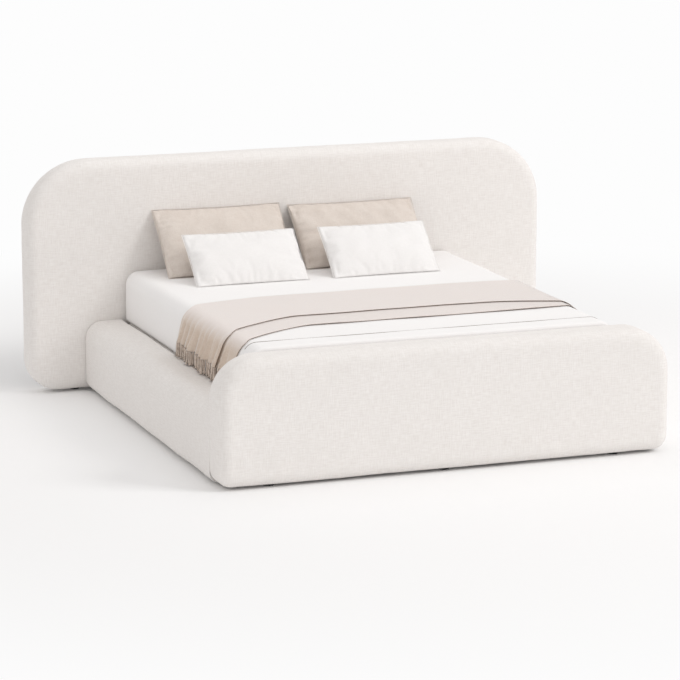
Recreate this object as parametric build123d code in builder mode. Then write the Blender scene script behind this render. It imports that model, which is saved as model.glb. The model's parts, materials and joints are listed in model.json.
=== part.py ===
from build123d import *
import os
from math import cos, radians, sin

os.makedirs("parts", exist_ok=True)

# Driving sizes in millimetres. X runs across the bed, +Y to the head end, +Z up.
# The origin is on the floor, under the middle of the whole bed.
mattress_width = 1800
mattress_length = 2000
mattress_height = 262
box_height = 190
slat_top = 160
side_gap = 10
rest_gap = 0.3
floor_gap = 10
overrun = 20

# Upholstery, shared by the headboard, the footboard and the side rails
cover_thickness = 3
edge_foam = 42
member_width = 60
upright_width = 45
timber_corner = 5
panel_thickness = 12

headboard_width = 2810
headboard_height = 1185
headboard_thickness = 150
headboard_top_radius = 335
headboard_bottom_radius = 165
headboard_front_round = 55
headboard_back_round = 40
headboard_foam_depth = 40
headboard_uprights = 9
headboard_mid_rails = 3
back_cloth_thickness = 2
back_cloth_margin = 70
back_cloth_fit = 0.5

footboard_height = 606
footboard_thickness = 180
footboard_top_radius = 210
footboard_bottom_radius = 95
footboard_front_round = 60
footboard_back_round = 35
footboard_foam_depth = 30
footboard_uprights = 7
footboard_mid_rails = 1

rail_thickness = 205
rail_height = 368
rail_crown = 6
rail_outer_radius = 95
rail_inner_radius = 50
rail_foot_radius = 35
rail_heel_radius = 12
rail_foam_depth = 40
rail_liner_depth = 6
rail_board = 25
rail_cells = 8

ledge_width = 30
ledge_height = 40
ledge_end_gap = 12
ledge_bolt_count = 5
ledge_bolt_margin = 160

slat_thickness = 20
slat_width = 100
slat_count = 5
slat_end_gap = 3
slat_screw_spread = 60

centre_beam_width = 60
centre_beam_height = 70
leg_count = 3
leg_radius = 25
leg_spacing = 620
leg_glide_height = 8
leg_glide_radius = 22

hanger_plate = 3
hanger_depth = 45
hanger_height = 50
hanger_ear = 34

bracket_plate = 5
bracket_leg = 90
bracket_height = 50
bracket_bottom = 45
bracket_hole_shares = (0.4, 0.75)

glide_radius = 25
glide_stem_radius = 5
glide_stem_grip = 30
glide_edge_distance = 260
rail_glide_spacing = 1400

bolt_radius = 4
bolt_head_radius = 7
bolt_head_height = 5
bolt_grip = 35
screw_radius = 2.5
screw_head_radius = 5
screw_head_height = 3
screw_length = 42
bore_clearance = 0.3

# Places that follow from the driving sizes
inner_half = mattress_width / 2 + side_gap
bed_half = inner_half + rail_thickness
well_length = mattress_length + 2 * side_gap
overall_length = footboard_thickness + well_length + headboard_thickness
foot_front = -overall_length / 2
foot_back = foot_front + footboard_thickness
head_back = overall_length / 2
head_front = head_back - headboard_thickness
well_mid = (foot_back + head_front) / 2
slat_bottom = slat_top - slat_thickness
box_base = slat_top + rest_gap
mattress_base = box_base + box_height + rest_gap
mattress_top = mattress_base + mattress_height
frame_inset = cover_thickness + edge_foam


def write_piece(piece, name):
    piece.part.label = name
    export_step(piece.part, f"parts/{name}.step")


def write_difference(name, body, *cutters):
    with BuildPart() as piece:
        add(body.part)
        for cutter in cutters:
            add(cutter.part, mode=Mode.SUBTRACT)
    write_piece(piece, name)


# A vertical board with rounded corners, between two planes along Y, drawn in by an inset
def board_outline(board, inset):
    Rectangle(board["width"] - 2 * inset, board["top"] - floor_gap - 2 * inset)
    fillet(vertices().group_by(Axis.Y)[-1], max(board["top_radius"] - inset, timber_corner))
    fillet(vertices().group_by(Axis.Y)[0], max(board["bottom_radius"] - inset, timber_corner))


def board_plane(board, depth):
    middle = (floor_gap + board["top"]) / 2
    return Plane(origin=(0, depth, middle), x_dir=(1, 0, 0), z_dir=(0, -1, 0))


def board_plate(board, inset, front, back):
    with BuildPart() as plate:
        with BuildSketch(board_plane(board, front)):
            board_outline(board, inset)
        extrude(amount=front - back)
    return plate


def board_form(board, inset):
    form = board_plate(board, inset, board["front"] + inset, board["back"] - inset)
    with BuildPart() as rounded:
        add(form.part)
        fillet(faces().sort_by(Axis.Y)[0].edges(), board["front_round"] - inset)
        fillet(faces().sort_by(Axis.Y)[-1].edges(), board["back_round"] - inset)
    return rounded


# Timber frame behind a board's panel: an outer ring of members, uprights and middle rails
def board_frame(board, front, back):
    inner_width = board["width"] - 2 * (frame_inset + member_width)
    inner_height = board["top"] - floor_gap - 2 * (frame_inset + member_width)
    upright_pitch = (inner_width + upright_width) / (board["uprights"] + 1)
    rail_pitch = (inner_height + member_width) / (board["mid_rails"] + 1)
    plate = board_plate(board, frame_inset, front, back)
    with BuildPart() as frame:
        add(plate.part)
        with BuildSketch(board_plane(board, front)):
            board_outline(board, frame_inset + member_width)
            with GridLocations(upright_pitch, 0, board["uprights"], 1):
                Rectangle(upright_width, board["top"], mode=Mode.SUBTRACT)
            with GridLocations(0, rail_pitch, 1, board["mid_rails"]):
                Rectangle(board["width"], member_width, mode=Mode.SUBTRACT)
        extrude(amount=front - back, mode=Mode.SUBTRACT)
    return frame


headboard = {
    "width": headboard_width,
    "top": headboard_height,
    "top_radius": headboard_top_radius,
    "bottom_radius": headboard_bottom_radius,
    "front": head_front,
    "back": head_back,
    "front_round": headboard_front_round,
    "back_round": headboard_back_round,
    "uprights": headboard_uprights,
    "mid_rails": headboard_mid_rails,
}
footboard = {
    "width": 2 * bed_half,
    "top": footboard_height,
    "top_radius": footboard_top_radius,
    "bottom_radius": footboard_bottom_radius,
    "front": foot_front,
    "back": foot_back,
    "front_round": footboard_front_round,
    "back_round": footboard_back_round,
    "uprights": footboard_uprights,
    "mid_rails": footboard_mid_rails,
}

# Depths of the layers inside the two boards
head_panel_front = head_front + cover_thickness + headboard_foam_depth
head_frame_front = head_panel_front + panel_thickness
head_frame_back = head_back - cover_thickness
head_frame_mid = (head_frame_front + head_frame_back) / 2
foot_outer_panel_front = foot_front + cover_thickness + footboard_foam_depth
foot_frame_front = foot_outer_panel_front + panel_thickness
foot_inner_panel_back = foot_back - cover_thickness - footboard_foam_depth
foot_frame_back = foot_inner_panel_back - panel_thickness
foot_frame_mid = (foot_frame_front + foot_frame_back) / 2

# Rail layers across the bed, for the rail on the +X side
beam_inner = inner_half + cover_thickness + rail_liner_depth
beam_outer = bed_half - cover_thickness - rail_foam_depth
beam_mid = (beam_inner + beam_outer) / 2
beam_bottom = floor_gap + cover_thickness + rail_liner_depth
beam_top = rail_height - cover_thickness - rail_foam_depth


# Levelling glides: a disc on the floor and a threaded stem up into the timber
def glide_set(points, stem_top, grow):
    with BuildPart() as glides:
        with Locations(*[(x, y, 0) for x, y in points]):
            if not grow:
                Cylinder(glide_radius, floor_gap, align=(Align.CENTER, Align.CENTER, Align.MIN))
        with Locations(*[(x, y, floor_gap - grow) for x, y in points]):
            Cylinder(
                glide_stem_radius + grow,
                stem_top - floor_gap + 2 * grow,
                align=(Align.CENTER, Align.CENTER, Align.MIN),
            )
    return glides


board_stem_top = floor_gap + frame_inset + glide_stem_grip
rail_stem_top = beam_bottom + rail_board - bore_clearance
head_glide_x = headboard_width / 2 - glide_edge_distance
foot_glide_x = bed_half - glide_edge_distance
head_glide_points = [(x, head_frame_mid) for x in (-head_glide_x, 0, head_glide_x)]
foot_glide_points = [(x, foot_frame_mid) for x in (-foot_glide_x, 0, foot_glide_x)]
rail_glide_points = [
    (side * beam_mid, well_mid + end * rail_glide_spacing / 2) for side in (-1, 1) for end in (-1, 1)
]
head_glides = glide_set(head_glide_points, board_stem_top, 0)
foot_glides = glide_set(foot_glide_points, board_stem_top, 0)
rail_glides = glide_set(rail_glide_points, rail_stem_top, 0)
head_glide_bores = glide_set(head_glide_points, board_stem_top, bore_clearance)
foot_glide_bores = glide_set(foot_glide_points, board_stem_top, bore_clearance)
rail_glide_bores = glide_set(rail_glide_points, rail_stem_top, bore_clearance)
write_piece(head_glides, "headboard_glides")
write_piece(foot_glides, "footboard_glides")
write_piece(rail_glides, "rail_glides")


# Hex bolts, each from a seat along its own direction; the bores are the same set grown
def bolt_set(seats, direction, length, grow):
    with BuildPart() as bolts:
        for seat in seats:
            seat_plane = Plane(origin=seat, z_dir=direction)
            with BuildSketch(seat_plane):
                Circle(bolt_radius + grow)
            extrude(amount=length + grow)
            if not grow:
                with BuildSketch(seat_plane):
                    RegularPolygon(bolt_head_radius, 6)
                extrude(amount=-bolt_head_height)
    return bolts


bracket_holes = [bracket_leg * share for share in bracket_hole_shares]
bracket_bolt_z = bracket_bottom + bracket_height / 2
hanger_bolt_x = centre_beam_width / 2 + hanger_plate + hanger_ear / 2
board_bolt_x = [side * (inner_half - reach) for side in (-1, 1) for reach in bracket_holes]

head_bracket_seats = [(x, head_front - bracket_plate, bracket_bolt_z) for x in board_bolt_x]
foot_bracket_seats = [(x, foot_back + bracket_plate, bracket_bolt_z) for x in board_bolt_x]
hanger_bolt_z = slat_bottom - centre_beam_height + hanger_height / 2
head_hanger_seats = [(side * hanger_bolt_x, head_front - hanger_plate, hanger_bolt_z) for side in (-1, 1)]
foot_hanger_seats = [(side * hanger_bolt_x, foot_back + hanger_plate, hanger_bolt_z) for side in (-1, 1)]
head_bolt_length = bracket_plate + cover_thickness + headboard_foam_depth + panel_thickness + bolt_grip
foot_bolt_length = bracket_plate + cover_thickness + footboard_foam_depth + panel_thickness + bolt_grip
rail_bolt_length = bracket_plate + cover_thickness + rail_liner_depth + rail_board - bore_clearance

rail_bolt_y = [foot_back + reach for reach in bracket_holes] + [head_front - reach for reach in bracket_holes]
right_rail_seats = [(inner_half - bracket_plate, y, bracket_bolt_z) for y in rail_bolt_y]
left_rail_seats = [(bracket_plate - inner_half, y, bracket_bolt_z) for y in rail_bolt_y]


def frame_bolt_sets(grow):
    return [
        bolt_set(head_bracket_seats + head_hanger_seats, (0, 1, 0), head_bolt_length, grow),
        bolt_set(foot_bracket_seats + foot_hanger_seats, (0, -1, 0), foot_bolt_length, grow),
        bolt_set(right_rail_seats, (1, 0, 0), rail_bolt_length, grow),
        bolt_set(left_rail_seats, (-1, 0, 0), rail_bolt_length, grow),
    ]


with BuildPart() as frame_bolts:
    for bolt_group in frame_bolt_sets(0):
        add(bolt_group.part)
write_piece(frame_bolts, "frame_bolts")
head_bores, foot_bores, right_rail_bores, left_rail_bores = frame_bolt_sets(bore_clearance)

# Bolts that hold the bearer ledges to the rail beams
ledge_mid_z = slat_bottom - ledge_height / 2
ledge_bolt_pitch = (well_length - 2 * ledge_bolt_margin) / (ledge_bolt_count - 1)
ledge_bolt_y = [foot_back + ledge_bolt_margin + i * ledge_bolt_pitch for i in range(ledge_bolt_count)]
ledge_seat = inner_half - ledge_width + bolt_head_height
ledge_bolt_length = ledge_width - bolt_head_height + rail_bolt_length - bracket_plate


def ledge_bolt_sets(grow):
    right_seats = [(ledge_seat, y, ledge_mid_z) for y in ledge_bolt_y]
    left_seats = [(-ledge_seat, y, ledge_mid_z) for y in ledge_bolt_y]
    return [
        bolt_set(right_seats, (1, 0, 0), ledge_bolt_length, grow),
        bolt_set(left_seats, (-1, 0, 0), ledge_bolt_length, grow),
    ]


with BuildPart() as ledge_bolts:
    for bolt_group in ledge_bolt_sets(0):
        add(bolt_group.part)
write_piece(ledge_bolts, "ledge_bolts")
right_ledge_bores, left_ledge_bores = ledge_bolt_sets(bore_clearance)

# Headboard: frame, front panel, foam wrapped over the edges, cover and the cloth on its back
head_form = board_form(headboard, 0)
head_lining = board_form(headboard, cover_thickness)
head_core = board_plate(headboard, frame_inset, head_panel_front, head_frame_back)
head_window = board_plate(headboard, back_cloth_margin, head_frame_back, head_back)
head_frame = board_frame(headboard, head_frame_front, head_frame_back)
head_panel = board_plate(headboard, frame_inset, head_panel_front, head_frame_front)
back_cloth = board_plate(
    headboard, back_cloth_margin + back_cloth_fit, head_frame_back, head_frame_back + back_cloth_thickness
)
write_difference("headboard_frame", head_frame, head_bores, head_glide_bores)
write_difference("headboard_panel", head_panel, head_bores)
write_difference("headboard_foam", head_lining, head_core, head_bores, head_glide_bores)
write_difference("headboard_cover", head_form, head_lining, head_window, head_bores, head_glide_bores)
write_piece(back_cloth, "headboard_back_cloth")

# Footboard: frame between two panels, foam all round and a closed cover
foot_form = board_form(footboard, 0)
foot_lining = board_form(footboard, cover_thickness)
foot_core = board_plate(footboard, frame_inset, foot_outer_panel_front, foot_inner_panel_back)
foot_frame = board_frame(footboard, foot_frame_front, foot_frame_back)
outer_panel = board_plate(footboard, frame_inset, foot_outer_panel_front, foot_frame_front)
inner_panel = board_plate(footboard, frame_inset, foot_frame_back, foot_inner_panel_back)
write_difference("footboard_frame", foot_frame, foot_bores, foot_glide_bores)
write_piece(outer_panel, "footboard_outer_panel")
write_difference("footboard_inner_panel", inner_panel, foot_bores)
write_difference("footboard_foam", foot_lining, foot_core, foot_bores, foot_glide_bores)
write_difference("footboard_cover", foot_form, foot_lining, foot_bores, foot_glide_bores)


# Side rail: section with a crowned, softly rounded top, run from the footboard to the headboard
def rail_form(inset):
    shoulder = rail_height - rail_crown
    with BuildPart() as form:
        with BuildSketch(Plane.XZ.offset(-foot_back)):
            with BuildLine():
                Line((inner_half, shoulder), (inner_half, floor_gap))
                Line((inner_half, floor_gap), (bed_half, floor_gap))
                Line((bed_half, floor_gap), (bed_half, shoulder))
                ThreePointArc(
                    (bed_half, shoulder), ((inner_half + bed_half) / 2, rail_height), (inner_half, shoulder)
                )
            make_face()
            fillet(vertices().group_by(Axis.Y)[-1].sort_by(Axis.X)[-1], rail_outer_radius)
            fillet(vertices().sort_by(Axis.X)[:2].sort_by(Axis.Y)[-1], rail_inner_radius)
            fillet(vertices().group_by(Axis.Y)[0].sort_by(Axis.X)[-1], rail_foot_radius)
            fillet(vertices().group_by(Axis.Y)[0].sort_by(Axis.X)[0], rail_heel_radius)
            if inset:
                offset(amount=-inset)
        extrude(amount=-well_length)
    return form


def box_between(low, high):
    with BuildPart() as block:
        with Locations(low):
            Box(
                high[0] - low[0],
                high[1] - low[1],
                high[2] - low[2],
                align=(Align.MIN, Align.MIN, Align.MIN),
            )
    return block


def mirrored(body):
    with BuildPart() as twin:
        add(body.part)
        mirror(about=Plane.YZ, mode=Mode.REPLACE)
    return twin


cell_pitch = (well_length - rail_board) / rail_cells
beam_envelope = box_between((beam_inner, foot_back, beam_bottom), (beam_outer, head_front, beam_top))
with BuildPart() as rail_beam:
    add(beam_envelope.part)
    with Locations((beam_mid, well_mid, (beam_bottom + beam_top) / 2)):
        with GridLocations(0, cell_pitch, 1, rail_cells):
            Box(
                beam_outer - beam_inner - 2 * rail_board,
                cell_pitch - rail_board,
                beam_top - beam_bottom - 2 * rail_board,
                mode=Mode.SUBTRACT,
            )
rail_skin = rail_form(0)
rail_lining = rail_form(cover_thickness)
rail_sides = {
    "right": (rail_beam, rail_lining, rail_skin, beam_envelope, right_rail_bores, right_ledge_bores),
    "left": (
        mirrored(rail_beam),
        mirrored(rail_lining),
        mirrored(rail_skin),
        mirrored(beam_envelope),
        left_rail_bores,
        left_ledge_bores,
    ),
}
for side, (beam, lining, skin, envelope, corner_bores, bearer_bores) in rail_sides.items():
    bores = (corner_bores, bearer_bores, rail_glide_bores)
    write_difference(f"{side}_rail_beam", beam, *bores)
    write_difference(f"{side}_rail_foam", lining, envelope, *bores)
    write_difference(f"{side}_rail_cover", skin, lining, *bores)

# Cross slats on the ledges and the centre beam, with their screws
slat_pitch = well_length / slat_count
slat_middles = [foot_back + (i + 0.5) * slat_pitch for i in range(slat_count)]
screw_x = [-(inner_half - ledge_width / 2), 0, inner_half - ledge_width / 2]
screw_places = [
    (x, y + end * slat_screw_spread / 2) for x in screw_x for y in slat_middles for end in (-1, 1)
]


def screw_set(grow):
    with BuildPart() as screws:
        with Locations(*[(x, y, slat_top - screw_length - grow) for x, y in screw_places]):
            Cylinder(
                screw_radius + grow,
                screw_length - screw_head_height + grow,
                align=(Align.CENTER, Align.CENTER, Align.MIN),
            )
        with Locations(*[(x, y, slat_top - screw_head_height - grow) for x, y in screw_places]):
            Cylinder(
                screw_head_radius + grow,
                screw_head_height + grow,
                align=(Align.CENTER, Align.CENTER, Align.MIN),
            )
    return screws


slat_screws = screw_set(0)
screw_bores = screw_set(bore_clearance)
write_piece(slat_screws, "slat_screws")
slat_half = inner_half - slat_end_gap
for i, y in enumerate(slat_middles):
    slat = box_between(
        (-slat_half, y - slat_width / 2, slat_bottom), (slat_half, y + slat_width / 2, slat_top)
    )
    write_difference(f"cross_slat_{i + 1}", slat, screw_bores)

# Bearer ledges along the rails, with pockets for the bolt heads
right_ledge = box_between(
    (inner_half - ledge_width, foot_back + ledge_end_gap, slat_bottom - ledge_height),
    (inner_half, head_front - ledge_end_gap, slat_bottom),
)
with BuildPart() as right_head_pockets:
    for y in ledge_bolt_y:
        with BuildSketch(Plane(origin=(ledge_seat, y, ledge_mid_z), z_dir=(-1, 0, 0))):
            Circle(bolt_head_radius + bore_clearance)
        extrude(amount=bolt_head_height + overrun)
left_ledge = mirrored(right_ledge)
left_head_pockets = mirrored(right_head_pockets)
write_difference("right_ledge", right_ledge, right_ledge_bores, right_head_pockets, screw_bores)
write_difference("left_ledge", left_ledge, left_ledge_bores, left_head_pockets, screw_bores)

# Centre beam in its two steel hangers, on three legs
beam_low = slat_bottom - centre_beam_height
centre_beam = box_between(
    (-centre_beam_width / 2, foot_back + hanger_plate, beam_low),
    (centre_beam_width / 2, head_front - hanger_plate, slat_bottom),
)
write_difference("centre_beam", centre_beam, screw_bores)
pocket_half = centre_beam_width / 2 + rest_gap
cheek_half = pocket_half + hanger_plate
ear_half = centre_beam_width / 2 + hanger_plate + hanger_ear
with BuildPart() as head_hanger:
    with BuildSketch(Plane.XZ.offset(-head_front)):
        with Locations((0, beam_low - hanger_plate + hanger_height / 2)):
            Rectangle(2 * ear_half, hanger_height)
    extrude(amount=hanger_plate)
    with BuildSketch(Plane.XZ.offset(-(head_front - hanger_plate))):
        with Locations((0, beam_low - hanger_plate + hanger_height / 2)):
            Rectangle(2 * cheek_half, hanger_height)
        with Locations((0, beam_low + hanger_height / 2)):
            Rectangle(2 * pocket_half, hanger_height, mode=Mode.SUBTRACT)
    extrude(amount=hanger_depth - hanger_plate)
with BuildPart() as foot_hanger:
    add(head_hanger.part)
    mirror(about=Plane.XZ.offset(-well_mid), mode=Mode.REPLACE)
with BuildPart() as beam_hangers:
    add(head_hanger.part)
    add(foot_hanger.part)
write_difference("beam_hangers", beam_hangers, head_bores, foot_bores)

with BuildPart() as centre_legs:
    with Locations((0, well_mid, leg_glide_height)):
        with GridLocations(0, leg_spacing, 1, leg_count):
            Cylinder(
                leg_radius,
                beam_low - leg_glide_height,
                align=(Align.CENTER, Align.CENTER, Align.MIN),
            )
write_piece(centre_legs, "centre_legs")
with BuildPart() as centre_leg_glides:
    with Locations((0, well_mid, 0)):
        with GridLocations(0, leg_spacing, 1, leg_count):
            Cylinder(
                leg_glide_radius, leg_glide_height, align=(Align.CENTER, Align.CENTER, Align.MIN)
            )
write_piece(centre_leg_glides, "centre_leg_glides")

# Angle brackets that join the rails to the two boards
with BuildPart() as corner_brackets:
    with BuildSketch(Plane.XY.offset(bracket_bottom)):
        for side in (-1, 1):
            for end_face, inward in ((foot_back, 1), (head_front, -1)):
                rail_face = side * inner_half
                with BuildLine():
                    Polyline(
                        (rail_face, end_face),
                        (rail_face - side * bracket_leg, end_face),
                        (rail_face - side * bracket_leg, end_face + inward * bracket_plate),
                        (rail_face - side * bracket_plate, end_face + inward * bracket_plate),
                        (rail_face - side * bracket_plate, end_face + inward * bracket_leg),
                        (rail_face, end_face + inward * bracket_leg),
                        close=True,
                    )
                make_face()
    extrude(amount=bracket_height)
write_difference(
    "corner_brackets", corner_brackets, head_bores, foot_bores, right_rail_bores, left_rail_bores
)


# The box spring as a rounded slab, drawn in by an inset
def block_form(block, inset):
    with BuildPart() as form:
        with BuildSketch(Plane.XY.offset(block["base"] + inset)):
            with Locations((0, well_mid)):
                RectangleRounded(
                    mattress_width - 2 * inset,
                    mattress_length - 2 * inset,
                    block["corner_radius"] - inset,
                )
        extrude(amount=block["height"] - 2 * inset)
        fillet(faces().sort_by(Axis.Z)[-1].edges(), block["top_round"] - inset)
        fillet(faces().sort_by(Axis.Z)[0].edges(), block["bottom_round"] - inset)
    return form


def core_block(inset, low, high):
    half_width = mattress_width / 2 - inset
    half_length = mattress_length / 2 - inset
    return box_between(
        (-half_width, well_mid - half_length, low), (half_width, well_mid + half_length, high)
    )


def form_slice(form, low, high):
    with BuildPart() as piece:
        add(form.part)
        split(bisect_by=Plane.XY.offset(low), keep=Keep.TOP)
        split(bisect_by=Plane.XY.offset(high), keep=Keep.BOTTOM)
    return piece


# Pocketed springs: upright barrels in a grid that fills the core
def spring_grid(inset, low, high, columns, rows, air):
    pitch_x = (mattress_width - 2 * inset) / columns
    pitch_y = (mattress_length - 2 * inset) / rows
    with BuildPart() as springs:
        with Locations((0, well_mid, low + rest_gap)):
            with GridLocations(pitch_x, pitch_y, columns, rows):
                Cylinder(
                    (min(pitch_x, pitch_y) - air) / 2,
                    high - low - 2 * rest_gap,
                    align=(Align.CENTER, Align.CENTER, Align.MIN),
                )
    return springs


box_corner_radius = 40
box_top_round = 25
box_bottom_round = 8
box_cover_thickness = 4
box_edge_foam_width = 26
box_pad_thickness = 20
box_timber_height = 60
box_timber_width = 50
box_bar_width = 60
box_bar_count = 8
box_spring_columns = 8
box_spring_rows = 9
box_cloth_margin = 60
box_cloth_thickness = 1.5
box_cloth_fit = 0.5
guard_leg = 70
guard_height = 60
guard_wall = 2
spring_air = 0.6

box_spring = {
    "base": box_base,
    "height": box_height,
    "corner_radius": box_corner_radius,
    "top_round": box_top_round,
    "bottom_round": box_bottom_round,
}
box_core_inset = box_cover_thickness + box_edge_foam_width
box_floor = box_base + box_cover_thickness
box_timber_top = box_floor + box_timber_height
box_spring_top = box_base + box_height - box_cover_thickness - box_pad_thickness

box_form = block_form(box_spring, 0)
box_lining = block_form(box_spring, box_cover_thickness)
box_core = core_block(box_core_inset, box_floor, box_spring_top)
write_difference("box_edge_foam", form_slice(box_lining, box_floor, box_spring_top), box_core)
write_piece(form_slice(box_lining, box_spring_top, box_base + box_height), "box_pad")
write_difference(
    "box_cover", box_form, box_lining, core_block(box_cloth_margin, box_base - overrun, box_floor + rest_gap)
)
write_piece(
    core_block(box_cloth_margin + box_cloth_fit, box_floor - box_cloth_thickness, box_floor),
    "box_dust_cloth",
)
write_piece(
    spring_grid(
        box_core_inset, box_timber_top, box_spring_top, box_spring_columns, box_spring_rows, spring_air
    ),
    "box_springs",
)

timber_block = core_block(box_core_inset, box_floor, box_timber_top)
opening_length = mattress_length - 2 * (box_core_inset + box_timber_width)
bar_pitch = (opening_length + box_bar_width) / (box_bar_count + 1)
with BuildPart() as box_base_frame:
    add(timber_block.part)
    with BuildSketch(Plane.XY.offset(box_floor)):
        with Locations((0, well_mid)):
            Rectangle(mattress_width - 2 * (box_core_inset + box_timber_width), opening_length)
            Rectangle(box_timber_width, opening_length, mode=Mode.SUBTRACT)
            with GridLocations(0, bar_pitch, 1, box_bar_count):
                Rectangle(mattress_width, box_bar_width, mode=Mode.SUBTRACT)
    extrude(amount=box_timber_height, mode=Mode.SUBTRACT)
write_piece(box_base_frame, "box_base_frame")

# Plastic guards round the four lower corners of the box spring
guard_outer = rest_gap + guard_wall
with BuildPart() as box_corner_guards:
    with BuildSketch(Plane.XY.offset(box_base + box_bottom_round)):
        with Locations((0, well_mid)):
            RectangleRounded(
                mattress_width + 2 * guard_outer,
                mattress_length + 2 * guard_outer,
                box_corner_radius + guard_outer,
            )
            RectangleRounded(
                mattress_width + 2 * rest_gap,
                mattress_length + 2 * rest_gap,
                box_corner_radius + rest_gap,
                mode=Mode.SUBTRACT,
            )
            Rectangle(
                mattress_width - 2 * guard_leg, mattress_length + 2 * overrun, mode=Mode.SUBTRACT
            )
            Rectangle(
                mattress_width + 2 * overrun, mattress_length - 2 * guard_leg, mode=Mode.SUBTRACT
            )
    extrude(amount=guard_height)
write_piece(box_corner_guards, "box_corner_guards")

# Mattress: base foam, foam border round the pocketed springs, comfort foam, ticking and sheet
mattress_shoulder_radius = 70
mattress_lower_radius = 22
mattress_end_round = 12
sheet_thickness = 1.5
ticking_thickness = 6
base_foam_height = 30
border_foam_width = 70
comfort_foam_height = 60
mattress_spring_columns = 10
mattress_spring_rows = 11
sheet_margin = 110

skin_depth = sheet_thickness + ticking_thickness
mattress_core_inset = skin_depth + border_foam_width
mattress_spring_base = mattress_base + skin_depth + base_foam_height
mattress_spring_top = mattress_top - skin_depth - comfort_foam_height


# A section with rounded shoulders, run from the foot end to the head end and drawn in by an inset
def mattress_run(inset):
    with BuildPart() as form:
        with BuildSketch(Plane.XZ.offset(-well_mid - mattress_length / 2 + inset)):
            with Locations((0, mattress_base + mattress_height / 2)):
                Rectangle(mattress_width - 2 * inset, mattress_height - 2 * inset)
            fillet(vertices().group_by(Axis.Y)[-1], mattress_shoulder_radius - inset)
            fillet(vertices().group_by(Axis.Y)[0], mattress_lower_radius - inset)
        extrude(amount=mattress_length - 2 * inset)
        end_edges = faces().sort_by(Axis.Y)[0].edges() + faces().sort_by(Axis.Y)[-1].edges()
        fillet(end_edges, mattress_end_round - inset)
    return form


mattress_form = mattress_run(0)
ticking_form = mattress_run(sheet_thickness)
filling_form = mattress_run(skin_depth)
write_difference(
    "fitted_sheet",
    mattress_form,
    ticking_form,
    core_block(sheet_margin, mattress_base - overrun, mattress_base + skin_depth),
)
write_difference("mattress_ticking", ticking_form, filling_form)
write_piece(form_slice(filling_form, mattress_base, mattress_spring_base), "mattress_base_foam")
write_piece(form_slice(filling_form, mattress_spring_top, mattress_top), "mattress_comfort_foam")
write_difference(
    "mattress_border_foam",
    form_slice(filling_form, mattress_spring_base, mattress_spring_top),
    core_block(mattress_core_inset, mattress_spring_base, mattress_spring_top),
)
write_piece(
    spring_grid(
        mattress_core_inset,
        mattress_spring_base,
        mattress_spring_top,
        mattress_spring_columns,
        mattress_spring_rows,
        spring_air,
    ),
    "mattress_springs",
)

# Throw: a blanket folded once, its upper layer shorter, across the foot part of the mattress.
# Its edges run straight along the middle of the bed and sweep to the foot end over the shoulders.
throw_layer = 7
throw_hem = 412
throw_straight_half = 600
throw_edge_bend = 500
throw_head_edge = {"middle": 90, "left": -10, "right": 50, "hem": 88}
throw_upper_edge = {"middle": -403, "left": -650, "right": -520, "hem": -560}
throw_under_edge = {"middle": -600, "left": -840, "right": -620, "hem": -700}
fold_count = 7
fold_radius = 9
fold_top_radius = 2
tassel_length = 62
tassel_pitch = 24
tassel_top_radius = 3
tassel_end_radius = 5

throw_shoulder = mattress_top - mattress_shoulder_radius
sides = ((-1, "left"), (1, "right"))


def throw_envelope(reach, foot_end):
    head_end = max(throw_head_edge.values())
    height = mattress_top + reach - throw_hem
    with BuildPart() as envelope:
        with BuildSketch(Plane.XZ.offset(-head_end)):
            with Locations((0, throw_hem + height / 2)):
                Rectangle(mattress_width + 2 * reach, height)
            fillet(vertices().group_by(Axis.Y)[-1], mattress_shoulder_radius + reach)
        extrude(amount=head_end - foot_end)
    return envelope


# What the edges leave of a layer: a plan with bent edges above the shoulders, a tapered flap below them
def throw_outline(foot_edge):
    reach = mattress_width / 2 + overrun
    head = throw_head_edge
    with BuildPart() as outline:
        with BuildSketch(Plane.XY.offset(throw_shoulder)):
            with BuildLine():
                Polyline(
                    (-reach, foot_edge["left"]),
                    (-throw_straight_half, foot_edge["middle"]),
                    (throw_straight_half, foot_edge["middle"]),
                    (reach, foot_edge["right"]),
                    (reach, head["right"]),
                    (throw_straight_half, head["middle"]),
                    (-throw_straight_half, head["middle"]),
                    (-reach, head["left"]),
                    close=True,
                )
            make_face()
            fillet(vertices().filter_by_position(Axis.X, -mattress_width / 2, mattress_width / 2), throw_edge_bend)
        extrude(amount=mattress_shoulder_radius + overrun)
        for side, end in sides:
            with BuildSketch(Plane.YZ):
                with BuildLine():
                    Polyline(
                        (foot_edge["hem"], throw_hem),
                        (foot_edge[end], throw_shoulder),
                        (head[end], throw_shoulder),
                        (head["hem"], throw_hem),
                        close=True,
                    )
                make_face()
            extrude(amount=side * reach)
    return outline


def throw_cloth(foot_edge, inner, outer):
    foot_end = min(foot_edge.values())
    outside = throw_envelope(outer, foot_end)
    inside = throw_envelope(inner, foot_end)
    outline = throw_outline(foot_edge)
    with BuildPart() as cloth:
        add(outside.part)
        add(inside.part, mode=Mode.SUBTRACT)
        add(outline.part, mode=Mode.INTERSECT)
    return cloth


# A soft fold on the hanging side, growing from the shoulder of the mattress to the hem
def throw_fold(x, top_y, hem_y):
    with BuildPart() as fold:
        with BuildSketch(Plane.XY.offset(throw_hem)):
            with Locations((x, hem_y)):
                Circle(fold_radius)
        with BuildSketch(Plane.XY.offset(throw_shoulder)):
            with Locations((x, top_y)):
                Circle(fold_top_radius)
        loft()
    return fold


def between(low, high, share):
    return low + share * (high - low)


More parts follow.
